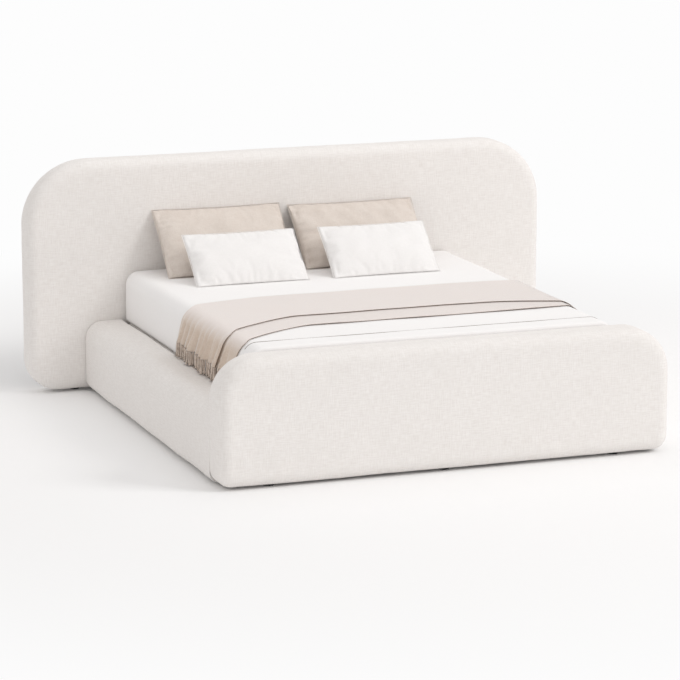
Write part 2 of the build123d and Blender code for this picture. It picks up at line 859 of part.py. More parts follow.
under_reach = rest_gap + throw_layer
upper_reach = rest_gap + 2 * throw_layer
under_cloth = throw_cloth(throw_under_edge, rest_gap, under_reach)
upper_cloth = throw_cloth(throw_upper_edge, under_reach, upper_reach)
fold_x = mattress_width / 2 + upper_reach
fold_shares = [(i + 0.5) / fold_count for i in range(fold_count)]
folds = [
    throw_fold(
        side * fold_x,
        between(throw_upper_edge[end], throw_head_edge[end], share),
        between(throw_upper_edge["hem"], throw_head_edge["hem"], share),
    )
    for side, end in sides
    for share in fold_shares
]
with BuildPart() as throw:
    add(under_cloth.part)
    add(upper_cloth.part)
    for fold in folds:
        add(fold.part)
write_piece(throw, "throw")

# Tasselled fringe along the hem at each end
tassel_count = int((throw_head_edge["hem"] - throw_under_edge["hem"]) / tassel_pitch)
fringe_mid = (throw_head_edge["hem"] + throw_under_edge["hem"]) / 2
for side, end in sides:
    with BuildPart() as fringe:
        with Locations((side * (mattress_width / 2 + under_reach), fringe_mid, throw_hem - tassel_length)):
            with GridLocations(0, tassel_pitch, 1, tassel_count):
                Cone(
                    tassel_end_radius,
                    tassel_top_radius,
                    tassel_length,
                    align=(Align.CENTER, Align.CENTER, Align.MIN),
                )
    write_piece(fringe, f"throw_fringe_{end}")

# Two back pillows lean on the headboard and two smaller cushions lean on them
pillow_lean = 45
pillow_cover = 2
pillow_settle = 18
pillow_width = 685
pillow_height = 410
pillow_thickness = 180
cushion_width = 580
cushion_height = 335
cushion_thickness = 135
pillow_left_x = -410
pillow_right_x = 320
cushion_left_x = -392
cushion_right_x = 318

# Height above the seam, corner reach and side reach of each section, from seam to crown
pillow_section_shares = [
    (0, 1, 0.955),
    (0.38, 0.94, 0.93),
    (0.68, 0.82, 0.865),
    (0.88, 0.64, 0.75),
    (1, 0.4, 0.54),
]
lean_sine = sin(radians(pillow_lean))
lean_cosine = cos(radians(pillow_lean))
pillow_plane = Plane(origin=(0, 0, 0), x_dir=(1, 0, 0), z_dir=(0, -lean_cosine, lean_sine))


def pillow_form(width, height, thickness, inset):
    half_width = width / 2 - inset
    half_height = height / 2 - inset
    half_thickness = thickness / 2 - inset
    with BuildPart() as form:
        for rise_share, corner_share, side_share in pillow_section_shares:
            x = half_width * corner_share
            y = half_height * corner_share
            side_x = half_width * side_share
            side_y = half_height * side_share
            with BuildSketch(pillow_plane.offset(half_thickness * rise_share)):
                with BuildLine():
                    ThreePointArc((-x, -y), (0, -side_y), (x, -y))
                    ThreePointArc((x, -y), (side_x, 0), (x, y))
                    ThreePointArc((x, y), (0, side_y), (-x, y))
                    ThreePointArc((-x, y), (-side_x, 0), (-x, -y))
                make_face()
        loft()
        mirror(about=pillow_plane)
    return form


# A pillow in its place, pressed flat where it rests on the mattress
def settled_pillow(form, place, inset):
    with BuildPart() as body:
        with Locations(place):
            add(form.part)
        split(bisect_by=Plane.XY.offset(mattress_top + rest_gap + inset), keep=Keep.TOP)
    return body


def write_pillow(name, form, filling, place):
    body = settled_pillow(form, place, 0)
    fill = settled_pillow(filling, place, pillow_cover)
    write_difference(f"{name}_cover", body, fill)
    write_piece(fill, f"{name}_fill")


pillow_body = pillow_form(pillow_width, pillow_height, pillow_thickness, 0)
pillow_filling = pillow_form(pillow_width, pillow_height, pillow_thickness, pillow_cover)
cushion_body = pillow_form(cushion_width, cushion_height, cushion_thickness, 0)
cushion_filling = pillow_form(cushion_width, cushion_height, cushion_thickness, pillow_cover)
pillow_box = pillow_body.part.bounding_box()
cushion_box = cushion_body.part.bounding_box()

pillow_y = head_front - rest_gap - pillow_box.max.Y
pillow_z = mattress_top + rest_gap - pillow_box.min.Z - pillow_settle
cushion_z = mattress_top + rest_gap - cushion_box.min.Z - pillow_settle
nest_depth = (pillow_thickness + cushion_thickness) / 2 + rest_gap
slide_down = (pillow_z + nest_depth * lean_sine - cushion_z) / lean_cosine
cushion_y = pillow_y - nest_depth * lean_cosine - slide_down * lean_sine
for end, x in (("left", pillow_left_x), ("right", pillow_right_x)):
    write_pillow(f"back_pillow_{end}", pillow_body, pillow_filling, (x, pillow_y, pillow_z))
for end, x in (("left", cushion_left_x), ("right", cushion_right_x)):
    write_pillow(f"front_cushion_{end}", cushion_body, cushion_filling, (x, cushion_y, cushion_z))
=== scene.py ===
import json
import math

import bpy
import numpy as np
from mathutils import Matrix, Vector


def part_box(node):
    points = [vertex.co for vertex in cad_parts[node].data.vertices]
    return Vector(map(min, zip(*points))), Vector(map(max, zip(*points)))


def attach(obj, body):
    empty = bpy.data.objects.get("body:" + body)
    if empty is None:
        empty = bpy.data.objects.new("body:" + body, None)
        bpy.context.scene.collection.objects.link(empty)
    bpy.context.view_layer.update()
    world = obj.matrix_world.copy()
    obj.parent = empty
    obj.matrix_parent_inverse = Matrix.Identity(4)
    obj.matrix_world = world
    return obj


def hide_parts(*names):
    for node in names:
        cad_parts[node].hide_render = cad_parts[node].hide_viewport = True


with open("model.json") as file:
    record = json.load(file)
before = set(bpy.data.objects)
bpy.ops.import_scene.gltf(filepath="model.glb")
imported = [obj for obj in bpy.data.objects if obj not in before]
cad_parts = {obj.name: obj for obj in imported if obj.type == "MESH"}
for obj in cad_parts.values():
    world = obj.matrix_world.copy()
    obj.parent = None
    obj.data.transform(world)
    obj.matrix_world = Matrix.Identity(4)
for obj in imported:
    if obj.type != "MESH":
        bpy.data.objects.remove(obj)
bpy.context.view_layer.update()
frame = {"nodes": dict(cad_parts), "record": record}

nodes = frame["nodes"]
mm = 0.001


# Colours and shader nodes
def hexColour(code):
    channels = [int(code[i : i + 2], 16) / 255 for i in (0, 2, 4)]
    return (*[c / 12.92 if c <= 0.04045 else ((c + 0.055) / 1.055) ** 2.4 for c in channels], 1.0)


def addNode(tree, kind, settings={}, links={}):
    node = tree.nodes.new("ShaderNode" + kind)
    for key, value in settings.items():
        if hasattr(node, str(key)):
            setattr(node, key, value)
        else:
            node.inputs[key].default_value = value
    for key, source in links.items():  # a node stands for its first output
        tree.links.new(source.outputs[0] if hasattr(source, "outputs") else source, node.inputs[key])
    return node


def newMaterial(name):
    material = bpy.data.materials.new(name)
    material.use_nodes = True
    material.node_tree.nodes.clear()
    return material, material.node_tree


def endMaterial(tree, facts, more, colour, relief):
    settings = {"Roughness": facts["roughness"], "Specular IOR Level": facts["specular"], **more}
    links = {"Base Color": colour.outputs[2], "Normal": relief}
    surface = addNode(tree, "BsdfPrincipled", settings, links)
    addNode(tree, "OutputMaterial", {}, {"Surface": surface})


# Any cloth woven from two sets of threads: thick and thin places run along both, and the shade wanders.
# Sizes are in millimetres. What a cloth doesn't say for itself comes from the plain weave.
plainWeave = {
    "slubWidth": 3.5, "slubStrength": 0.3, "slubHeight": 0.2, "contrast": 0.4,
    "patch": 120, "patchy": (0.3, 0.7), "wander": 0.2, "crimp": 0.2, "specular": 0.2,
    "sheen": 0.2, "nap": 0.5, "pale": 0.85,
}


def wovenCloth(name, **own):
    cloth = {**plainWeave, **own}
    material, tree = newMaterial(name)
    flat = addNode(tree, "UVMap").outputs["UV"]  # metres along the cloth
    thin, long = 1 / (cloth["slubWidth"] * mm), 1 / (cloth["slubLength"] * mm)
    uneven = {"noise_dimensions": "2D", "Scale": 1.0, "Detail": 2.5, "Roughness": 0.62}
    threads = []
    for scale in ((thin, long, 1), (long, thin, 1)):
        place = addNode(tree, "VectorMath", {"operation": "MULTIPLY", 1: scale}, {0: flat})
        threads.append(addNode(tree, "TexNoise", uneven, {0: place}))
    slubs = addNode(tree, "Math", {"operation": "ADD"}, {0: threads[0], 1: threads[1]})
    slubs = addNode(
        tree, "MapRange", {"From Min": 1 - cloth["contrast"], "From Max": 1 + cloth["contrast"]},
        {"Value": slubs},
    )
    colour = addNode(
        tree, "Mix", {"data_type": "RGBA", 6: hexColour(cloth["dark"]), 7: hexColour(cloth["light"])},
        {0: slubs},
    )
    patch = addNode(
        tree, "TexNoise",
        {"noise_dimensions": "2D", "Scale": 1 / (cloth["patch"] * mm), "Detail": 4.0, "Roughness": 0.6},
        {"Vector": flat},
    )
    least, most = cloth["patchy"]
    shade = addNode(
        tree, "MapRange", {"From Min": least, "From Max": most, "To Max": cloth["wander"]},
        {"Value": patch},
    )
    colour = addNode(
        tree, "Mix", {"data_type": "RGBA", 7: hexColour(cloth["worn"])},
        {0: shade, 6: colour.outputs[2]},
    )
    # painted sheen: paler where the cloth lies flat on top, by height, standing in for the light on the top
    if "brushed" in cloth:
        place = addNode(tree, "TexCoord").outputs["Object"]
        height = addNode(tree, "SeparateXYZ", {}, {0: place}).outputs["Z"]
        drop = {"From Min": cloth["hangs"] * mm, "From Max": cloth["lies"] * mm, "To Max": cloth["pale"]}
        paintedSheenShare = addNode(tree, "MapRange", {**drop, "interpolation_type": "SMOOTHSTEP"}, {"Value": height})
        colour = addNode(
            tree, "Mix", {"data_type": "RGBA", 7: hexColour(cloth["brushed"])},
            {0: paintedSheenShare, 6: colour.outputs[2]},
        )
    bands = {"Scale": math.pi / 10 / (cloth["thread"] * mm), "Distortion": 1.5, "Detail": 1.0}
    picks = []
    for direction in ("X", "Y"):
        wave = {"wave_type": "BANDS", "bands_direction": direction, **bands}
        picks.append(addNode(tree, "TexWave", wave, {"Vector": flat}).outputs["Fac"])
    weave = addNode(tree, "Math", {"operation": "MULTIPLY"}, {0: picks[0], 1: picks[1]})
    fine = addNode(
        tree, "Bump", {"Strength": cloth["weaveStrength"], "Distance": cloth["thread"] * cloth["crimp"] * mm},
        {"Height": weave},
    )
    coarse = addNode(
        tree, "Bump", {"Strength": cloth["slubStrength"], "Distance": cloth["slubHeight"] * mm},
        {"Height": slubs, "Normal": fine},
    )
    sheen = {"Sheen Weight": cloth["sheen"], "Sheen Roughness": cloth["nap"]}
    endMaterial(tree, cloth, {"IOR": 1.5, **sheen}, colour, coarse)
    return material


# Linen-look upholstery, woven from slubby yarn: matt, with short pale and dark dashes both ways.
# The slubs are drawn 3 times too coarse, or they don't show.
linenUpholstery = wovenCloth(
    "linenUpholstery", dark="E9E4E0", light="F8F5F2", worn="EAE6E2", slubWidth=5, slubLength=50, patch=190,
    thread=2.2, weaveStrength=0.3, slubHeight=0.6, roughness=0.92, sheen=0.1,
)
# Washed cotton pillowcases in greige, plain woven: soft, with hardly any thread to see
greigeCotton = wovenCloth(
    "greigeCotton", dark="DACFC5", light="E6DDD5", worn="CFC2B7", wander=0.3, slubLength=30, contrast=0.35,
    thread=1.4, weaveStrength=0.25, slubHeight=0.4, roughness=0.9,
)
# White cotton cushion cases, the same plain weave bleached
whiteCotton = wovenCloth(
    "whiteCotton", dark="F1EFED", light="F7F5F4", worn="EEECEA", slubLength=30, thread=1.4,
    weaveStrength=0.15, slubStrength=0.12, roughness=0.88, sheen=0.15,
)
# Percale bed linen, tightly woven and pressed: the smoothest cloth on the bed
whitePercale = wovenCloth(
    "whitePercale", dark="F7F5F4", light="FCFBFA", worn="F4F1F0", slubWidth=2.5, slubLength=20, patch=200,
    thread=1.2, weaveStrength=0.12, slubStrength=0.12, roughness=0.85, specular=0.25, sheen=0.1,
)
# The same sheet's seam, turned and stitched with a darker thread: a thin grey line.
# The grey is partly painted shade, standing in for the shadow along the seam
stitchedCottonShadowLine = wovenCloth(
    "stitchedCottonShadowLine", dark="9F9994", light="B9B4B0", worn="A39D98", slubWidth=2.5, slubLength=12, patch=60,
    thread=1.2, weaveStrength=0.2, slubStrength=0.2, roughness=0.88, sheen=0.1,
)
# Stretch knit ticking round the mattress, quilted to a thin wadding: puffy, with soft dimples
quiltedTicking = wovenCloth(
    "quiltedTicking", dark="E6E2DC", light="F3F0EB", worn="E9E4DD", slubWidth=34, slubLength=34, contrast=0.3,
    thread=3.0, weaveStrength=0.3, slubStrength=0.8, slubHeight=3.0, roughness=0.9,
)
# Soft wool-blend throw, fulled after weaving: fine ribs and a soft nap. Where it lies flat on top it is
# painted paler, a painted sheen for the light on the top; the drop keeps the plain, darker cloth colour
throwWool = wovenCloth(
    "throwWool", dark="D4C2B2", light="E2D3C5", worn="CFBDAC", wander=0.25, slubWidth=4.5, slubLength=26,
    patch=90, thread=2.4, weaveStrength=0.4, slubHeight=0.6, roughness=0.93, specular=0.15, sheen=1.0,
    nap=0.3, brushed="F4ECE8", hangs=540, lies=622,
)
# The same yarn twisted into tassels, painted paler than the cloth to offset the shade among the strands
tasselYarnPaintedPaler = wovenCloth(
    "tasselYarnPaintedPaler", dark="E2D2C4", light="EDE0D4", worn="DDCCBE", wander=0.25, slubLength=12, patch=60,
    thread=2.4, weaveStrength=0.4, slubHeight=0.6, roughness=0.93, specular=0.15, sheen=0.6, nap=0.4,
)
# Darker yarn whipped over the throw's cut edges: a thin brown line.
# Its dark colour is partly painted shade, standing in for the shadowed thickness of the edge
bindingYarnAndShadow = wovenCloth(
    "bindingYarnAndShadow", dark="644E3D", light="7C6452", worn="5E4939", wander=0.25, slubWidth=2.5, slubLength=5,
    patch=40, thread=2.0, weaveStrength=0.5, slubStrength=0.4, slubHeight=0.4, roughness=0.93, specular=0.15,
)


# Anything mottled: foam, plastic, steel, spunbond cloth and timber differ in their numbers
def mottledFinish(name, **own):
    finish = {"metallic": 0, "spread": 0.25, **own}
    material, tree = newMaterial(name)
    place = addNode(tree, "TexCoord").outputs["Object"]
    grainScale = [1 / (size * mm) for size in finish["grain"]]
    spots = addNode(tree, "Mapping", {"Scale": grainScale}, {"Vector": place})
    grain = addNode(
        tree, "TexNoise",
        {"Scale": 1.0, "Detail": finish["detail"], "Roughness": 0.6, "Distortion": finish["bend"]},
        {"Vector": spots},
    )
    spread = addNode(
        tree, "MapRange", {"From Min": 0.5 - finish["spread"], "From Max": 0.5 + finish["spread"]},
        {"Value": grain},
    )
    colour = addNode(
        tree, "Mix", {"data_type": "RGBA", 6: hexColour(finish["dark"]), 7: hexColour(finish["light"])},
        {0: spread},
    )
    relief = addNode(
        tree, "Bump", {"Strength": finish["reliefStrength"], "Distance": finish["relief"] * mm},
        {"Height": spread},
    )
    endMaterial(tree, finish, {"Metallic": finish["metallic"]}, colour, relief)
    return material


# Planed pine: long pale grain with darker late wood
planedPine = mottledFinish(
    "planedPine", dark="C79C66", light="E6C797", grain=(140, 5, 5), detail=4, bend=0.6, spread=0.22,
    relief=0.3, reliefStrength=0.3, roughness=0.62, specular=0.4,
)
# Raw birch plywood: a wide calm figure
birchPlywood = mottledFinish(
    "birchPlywood", dark="C9A878", light="DEC39A", grain=(260, 260, 12), detail=5, bend=1.2, relief=0.2,
    reliefStrength=0.2, roughness=0.6, specular=0.4,
)
# Cut polyether foam: open cells about a millimetre across, drawn at 3 mm to show
cutFoam = mottledFinish(
    "cutFoam", dark="DCCFA2", light="EFE6C4", grain=(3, 3, 3), detail=3, bend=0, spread=0.2, relief=0.8,
    reliefStrength=0.6, roughness=0.95, specular=0.1,
)
# Spunbond pockets round the coils: thin pressed felt, slightly cloudy
pocketFelt = mottledFinish(
    "pocketFelt", dark="D6D7D8", light="ECEDEE", grain=(6, 6, 14), detail=4, bend=0.3, relief=0.5,
    reliefStrength=0.4, roughness=0.9, specular=0.15,
)
# Crimped polyester filling: fluffy white strands
crimpedFibre = mottledFinish(
    "crimpedFibre", dark="E2E2E0", light="F6F6F5", grain=(9, 4, 9), detail=6, bend=2.5, spread=0.2, relief=2,
    reliefStrength=0.6, roughness=1.0, specular=0.05,
)
# Zinc plated steel: a fine cloudy crystal pattern, half bright
zincSteel = mottledFinish(
    "zincSteel", dark="9C9EA0", light="C2C4C6", grain=(5, 5, 5), detail=2, bend=0.4, spread=0.2, relief=0.05,
    reliefStrength=0.2, roughness=0.38, metallic=1, specular=0.5,
)
# Moulded polypropylene glides: matt with a spark-eroded grain
mouldedPolypropylene = mottledFinish(
    "mouldedPolypropylene", dark="141414", light="232324", grain=(0.8, 0.8, 0.8), detail=2, bend=0,
    relief=0.1, reliefStrength=0.4, roughness=0.55, specular=0.45,
)
# Black spunbond backing: pressed felt with a faint dimple
blackSpunbond = mottledFinish(
    "blackSpunbond", dark="202124", light="303135", grain=(2, 2, 2), detail=3, bend=0.3, relief=0.3,
    reliefStrength=0.5, roughness=0.88, specular=0.2,
)
print("materials made")


# Mesh helpers
def gridFaces(rows, columns, offset=0):
    r, c = np.meshgrid(np.arange(rows - 1), np.arange(columns - 1), indexing="ij")
    a = (r * columns + c + offset).ravel()
    return np.stack([a, a + 1, a + columns + 1, a + columns], axis=1)


def newObject(name, data):
    item = bpy.data.objects.new(name, data)
    bpy.context.scene.collection.objects.link(item)
    return item


def gridUv(first, second):
    return np.stack(np.broadcast_arrays(first, second), -1).reshape(-1, 2)


def meshPiece(name, points, sections, material, body):  # sections: faces, and each point's place on the cloth
    mesh = bpy.data.meshes.new(name)
    faces = [face for part, _ in sections for face in np.asarray(part).tolist()]
    mesh.from_pydata(np.asarray(points).tolist(), [], faces)
    layer = mesh.uv_layers.new(name="cloth")
    spread = np.concatenate([np.asarray(uv)[np.asarray(part).ravel()] for part, uv in sections])
    layer.data.foreach_set("uv", spread.astype(np.float32).ravel())
    mesh.polygons.foreach_set("use_smooth", np.ones(len(faces), bool))
    mesh.materials.append(material)
    piece = newObject(name, mesh)
    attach(piece, body)
    return piece


def readPoints(mesh, what="co"):
    flat = np.zeros(len(mesh.vertices) * 3)
    mesh.vertices.foreach_get(what, flat)
    return flat.reshape(-1, 3)


def writePoints(mesh, points):
    mesh.vertices.foreach_set("co", np.asarray(points).ravel())
    mesh.update()


waveCount, shortest, longest, calm = 9, 0.6, 1.7, 4


# A smooth value that wanders between about -1 and 1: waves of about a length in metres, added up
def wander(points, wavelength, seed):
    rng = np.random.default_rng(seed)
    total = np.zeros(len(points))
    for _ in range(waveCount):
        direction = rng.normal(size=3)
        direction /= np.linalg.norm(direction)
        wave = 2 * math.pi / (wavelength * rng.uniform(shortest, longest))
        total += np.sin(points @ direction * wave + rng.uniform(0, 2 * math.pi))
    return np.clip(total / calm, -1, 1)


def pressIn(piece, depth):  # depth in metres at each point, inwards
    mesh = piece.data
    writePoints(mesh, readPoints(mesh) - readPoints(mesh, "normal") * np.asarray(depth)[:, None])


def runLengths(line):  # how far along the line each point lies
    return np.concatenate([[0], np.cumsum(np.linalg.norm(np.diff(line, axis=0), axis=1))])


def rimOf(rows, columns):  # a grid's outer points, once round
    index = np.arange(rows * columns).reshape(rows, columns)
    return np.concatenate([index[0, :-1], index[:-1, -1], index[-1, :0:-1], index[:0:-1, 0]])


def atDepth(ring, y):  # a flat ring of points, stood up at depth y
    return np.stack([ring[:, 0], np.full(len(ring), y), ring[:, 1]], 1)


def wallFaces(rim, start, ringCount):  # from the rim through rings of new points, and the last ring
    rings = np.concatenate([rim[None], start + np.arange(ringCount * len(rim)).reshape(ringCount, -1)])
    following = np.roll(rings, -1, 1)
    return np.stack([rings[:-1], rings[1:], following[1:], following[:-1]], -1).reshape(-1, 4), rings[-1]


# A tube round a line of points, for seams and hems
def tubePiece(name, line, radius, material, body, sides=8, closed=False):
    line = np.asarray(line, float)
    ahead = np.roll(line, -1, 0) - np.roll(line, 1, 0)
    if not closed:
        ahead[0], ahead[-1] = line[1] - line[0], line[-1] - line[-2]
    ahead /= np.linalg.norm(ahead, axis=1)[:, None]
    side = np.cross(ahead, (0.31, 0.17, 0.93))  # any direction that no line here follows
    side /= np.linalg.norm(side, axis=1)[:, None]
    up = np.cross(side, ahead)
    turn = np.linspace(0, 2 * math.pi, sides + 1)
    radius = np.broadcast_to(radius, len(line))[:, None, None]
    outwards = side[:, None] * np.cos(turn)[None, :, None] + up[:, None] * np.sin(turn)[None, :, None]
    rings = line[:, None] + radius * outwards
    if closed:
        rings = np.concatenate([rings, rings[:1]])
    lengths = runLengths(rings[:, 0])
    uv = gridUv(lengths[:, None], turn[None] * radius.mean())
    faces = gridFaces(len(rings), sides + 1)[:, ::-1]
    return meshPiece(name, rings.reshape(-1, 3), [(faces, uv)], material, body)


def gridSteps(first, middle, last):  # places along the two arcs, and along the straight between them
    arc = np.concatenate([np.linspace(-1, 0, first + 1), np.zeros(middle - 1), np.linspace(0, 1, last + 1)])
    straight = np.concatenate([np.zeros(first + 1), np.linspace(0, 1, middle + 1)[1:-1], np.ones(last + 1)])
    return arc, straight


# A sheet of grid cells over a rectangle with rounded corners. Corner cells follow the arcs.
def boardGrid(outline, inset, counts):
    sideCount, midColumns, lowCount, midRows, topCount = counts
    low, high = outline["bottomRadius"] - inset, outline["topRadius"] - inset
    a, t = gridSteps(sideCount, midColumns, sideCount)
    b, s = gridSteps(lowCount, midRows, topCount)
    a, b = np.meshgrid(a, b)
    t, s = np.meshgrid(t, s)
    radius = low + (high - low) * s
    acrossUnit, upUnit = a * np.sqrt(1 - b * b / 2), b * np.sqrt(1 - a * a / 2)
    half = outline["halfWidth"] - inset - radius
    base = outline["bottom"] + inset + low
    rise = outline["top"] - inset - high - base
    x = (2 * t - 1) * half + acrossUnit * radius
    z = base + s * rise + upUnit * radius
    rim = rimOf(*x.shape)
    flat = np.stack([x.ravel(), z.ravel()], 1)
    normal = np.stack([acrossUnit.ravel(), upUnit.ravel()], 1)[rim]
    normal /= np.linalg.norm(normal, axis=1)[:, None]
    return flat, gridFaces(*x.shape), rim, normal


def placed(board, points):  # a lying board faces up
    return points[:, (0, 2, 1)] * (1, 1, -1) if board["paintedSheenShare"] else points


# Rings down a rounded front edge, the side and a rounded back edge: points, depth, and way along the cloth
def sideRings(board, edge, normal, inner, outer, backSteps):
    front, back = board["front"], board["back"]
    rows = []
    for turn in np.linspace(0, math.pi / 2, board["roundSteps"] + 1)[1:]:
        rows.append((inner * math.sin(turn), front + inner * (1 - math.cos(turn)), inner * turn))
    along, band = rows[-1][2], back - outer - front - inner
    for depth in np.linspace(0, band, max(2, round(band / board["cell"])) + 1)[1:]:
        rows.append((inner, front + inner + depth, along + depth))
    along = rows[-1][2]
    for turn in np.linspace(0, math.pi / 2, backSteps + 1)[1:]:
        out = inner - outer * (1 - math.cos(turn))
        rows.append((out, back - outer * (1 - math.sin(turn)), along + outer * turn))
    return [(edge + normal * out, y, length) for out, y, length in rows]


# A padded board: a front sheet, its side all round, and a back sheet or a hem
def paddedBoard(name, board, material, body):
    inner, outer = board["frontRound"], board["backRound"]
    flat, faces, rim, normal = boardGrid(board, inner, board["counts"])
    front, back, edge = board["front"], board["back"], flat[rim]
    rings = sideRings(board, edge, normal, inner, outer, 4)
    if board["hem"]:
        ring, _, along = rings[-1]
        margin = outer + board["hem"]
        radii = {key: max(board[key], margin + 2 * mm) for key in ("bottomRadius", "topRadius")}
        window = boardGrid({**board, **radii}, margin, board["counts"])[0][rim]
        for share in np.linspace(0, 1, 5)[1:]:
            rings.append((ring + (window - ring) * share, back, along + board["hem"] * share))
        rings.append((window, back - board["turnIn"], along + board["hem"] + board["turnIn"]))
    points = [atDepth(flat, front)] + [atDepth(ring, y) for ring, y, _ in rings]
    uv = np.concatenate([flat] + [edge + normal * length for _, _, length in rings])
    walls, last = wallFaces(rim, len(flat), len(rings))
    sections = [(faces, uv), (walls, uv)]
    if not board["hem"]:
        backFlat, backFaces, backRim, _ = boardGrid(board, outer, board["counts"])
        table = np.arange(len(backFlat)) + len(uv)
        table[backRim] = last
        points.append(atDepth(backFlat, back))
        elsewhere = backFlat + (0.37, 0.21)  # the back sheet is cut from another part of the cloth
        backUv = np.concatenate([uv, elsewhere])
        backUv[last] = elsewhere[backRim]
        sections.append((table[backFaces][:, ::-1], backUv))
    return meshPiece(name, placed(board, np.concatenate(points)), sections, material, body)


def boardFrom(node, facts):  # a lying board's front is its top
    low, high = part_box(node)
    bottom, top, front, back = low.z, high.z, low.y, high.y
    if facts["paintedSheenShare"]:
        bottom, top, front, back = low.y, high.y, -high.z, -low.z
    return {"halfWidth": high.x, "bottom": bottom, "top": top, "front": front, "back": back, **facts}


giveFacts = {"wave": 420 * mm, "fineWave": 90 * mm, "least": 0.3 * mm, "fine": 0.5 * mm, "hemShare": 0.2}


# The padding gives way a little here and there, and never stands outside its box. A hem lies on timber.
def settle(piece, facts, seed):
    points = readPoints(piece.data)
    fullness = 0.5 + 0.5 * wander(points, facts["wave"], seed)
    fine = facts["fine"] * (1 + wander(points, facts["fineWave"], seed + 1))
    give = facts["least"] + facts["slack"] * fullness + fine
    if facts["hem"]:
        depth = facts["back"] + (points[:, 2] if facts["paintedSheenShare"] else -points[:, 1])
        give *= np.clip(facts["hemShare"] + depth / facts["backRound"], 0, 1)
    pressIn(piece, give)


def upholster(name, node, facts, body, *hidden):
    board = boardFrom(node, facts)
    cover = paddedBoard(name, board, linenUpholstery, body)
    settle(cover, {**giveFacts, **board}, facts["seed"])
    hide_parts(node, *hidden)


def thicken(piece, thickness, offset=0):
    layer = piece.modifiers.new("thickness", "SOLIDIFY")
    layer.thickness, layer.offset = thickness, offset


# A thin cloth pulled flat over an opening, with its free edge folded to a hem
def stretchedCloth(name, node, cloth, body):
    board = boardFrom(node, cloth)
    flat, faces, rim, _ = boardGrid(board, 0, cloth["counts"])
    give = cloth["give"] * (0.5 + 0.5 * wander(np.insert(flat, 2, 0, 1), cloth["wave"], cloth["seed"]))
    give[rim] = 0
    points = atDepth(flat, (board["front"] + board["back"]) / 2)
    points[:, 1] -= give
    points = placed(board, points)
    piece = meshPiece(name, points, [(faces[:, ::-1], flat)], blackSpunbond, body)
    thicken(piece, cloth["thickness"])
    hem = tubePiece(name + "Hem", points[rim], cloth["hemRadius"], blackSpunbond, body, 6, True)
    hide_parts(node)


# Headboard
boardFacts = {"cell": 15 * mm, "roundSteps": 7, "slack": 2.5 * mm, "hem": 0, "paintedSheenShare": False}
headboardFacts = {
    **boardFacts, "topRadius": 335 * mm, "bottomRadius": 165 * mm, "frontRound": 55 * mm,
    "backRound": 40 * mm, "hem": 30 * mm, "turnIn": 2.2 * mm, "counts": (18, 146, 8, 46, 18), "seed": 11,
}
backingFacts = {"wave": 500 * mm, "thickness": 0.6 * mm}
backClothFacts = {
    **backingFacts, "topRadius": 264.5 * mm, "bottomRadius": 94.5 * mm, "counts": (8, 60, 4, 22, 8),
    "give": 0.5 * mm, "hemRadius": 1.0 * mm, "seed": 13, "paintedSheenShare": False,
}
upholster("headboardCover", "headboard_cover", headboardFacts, "bed_frame", "headboard_foam")
stretchedCloth("headboardBackCloth", "headboard_back_cloth", backClothFacts, "bed_frame")
print("headboard done")

# Footboard
footboardFacts = {
    **boardFacts, "topRadius": 210 * mm, "bottomRadius": 73 * mm, "frontRound": 60 * mm, "backRound": 35 * mm,
    "counts": (12, 124, 5, 22, 11), "seed": 23,
}
upholster("footboardCover", "footboard_cover", footboardFacts, "bed_frame", "footboard_foam")
print("footboard done")

# Side rails: a padded section run from board to board. The cloth laps round the footboard's back edge, and
# its end is cupped.
railFacts = {
    "outerRadius": 95 * mm, "innerRadius": 18 * mm, "footRadius": 52 * mm, "heelRadius": 12 * mm,
    "cell": 13 * mm, "endRound": 12 * mm, "endDepth": 3 * mm, "endSteps": 6, "lengthSteps": 132,
    "lap": 28 * mm, "cup": 0.8, "cupDepth": 0.5 * mm,
    "slack": 4.5 * mm, "least": 0, "wave": 380 * mm, "fine": 0.6 * mm, "fineWave": 100 * mm, "hem": 0,
}


def cornerLoop(left, right, low, high, radii, cell):  # counter-clockwise from the lower left, as the radii
    corners = [(left, low, 1, 1), (right, low, -1, 1), (right, high, -1, -1), (left, high, 1, -1)]
    arcs = []
    for i, ((x, z, inX, inZ), radius) in enumerate(zip(corners, radii)):
        start = math.pi / 2 * (i + 2)
        count = max(3, math.ceil(math.pi / 2 * radius / cell))
        turn = np.linspace(start, start + math.pi / 2, count + 1)
        arcs.append(np.stack([x + radius * (inX + np.cos(turn)), z + radius * (inZ + np.sin(turn))], 1))
    joined = []
    for i, arc in enumerate(arcs):
        joined.append(arc)
        ahead = arcs[(i + 1) % 4][0] - arc[-1]
        count = math.ceil(np.linalg.norm(ahead) / cell)
        joined.append(arc[-1] + ahead * (np.arange(1, count) / count)[:, None])
    loop = np.concatenate(joined)
    return np.concatenate([loop, loop[:1]])


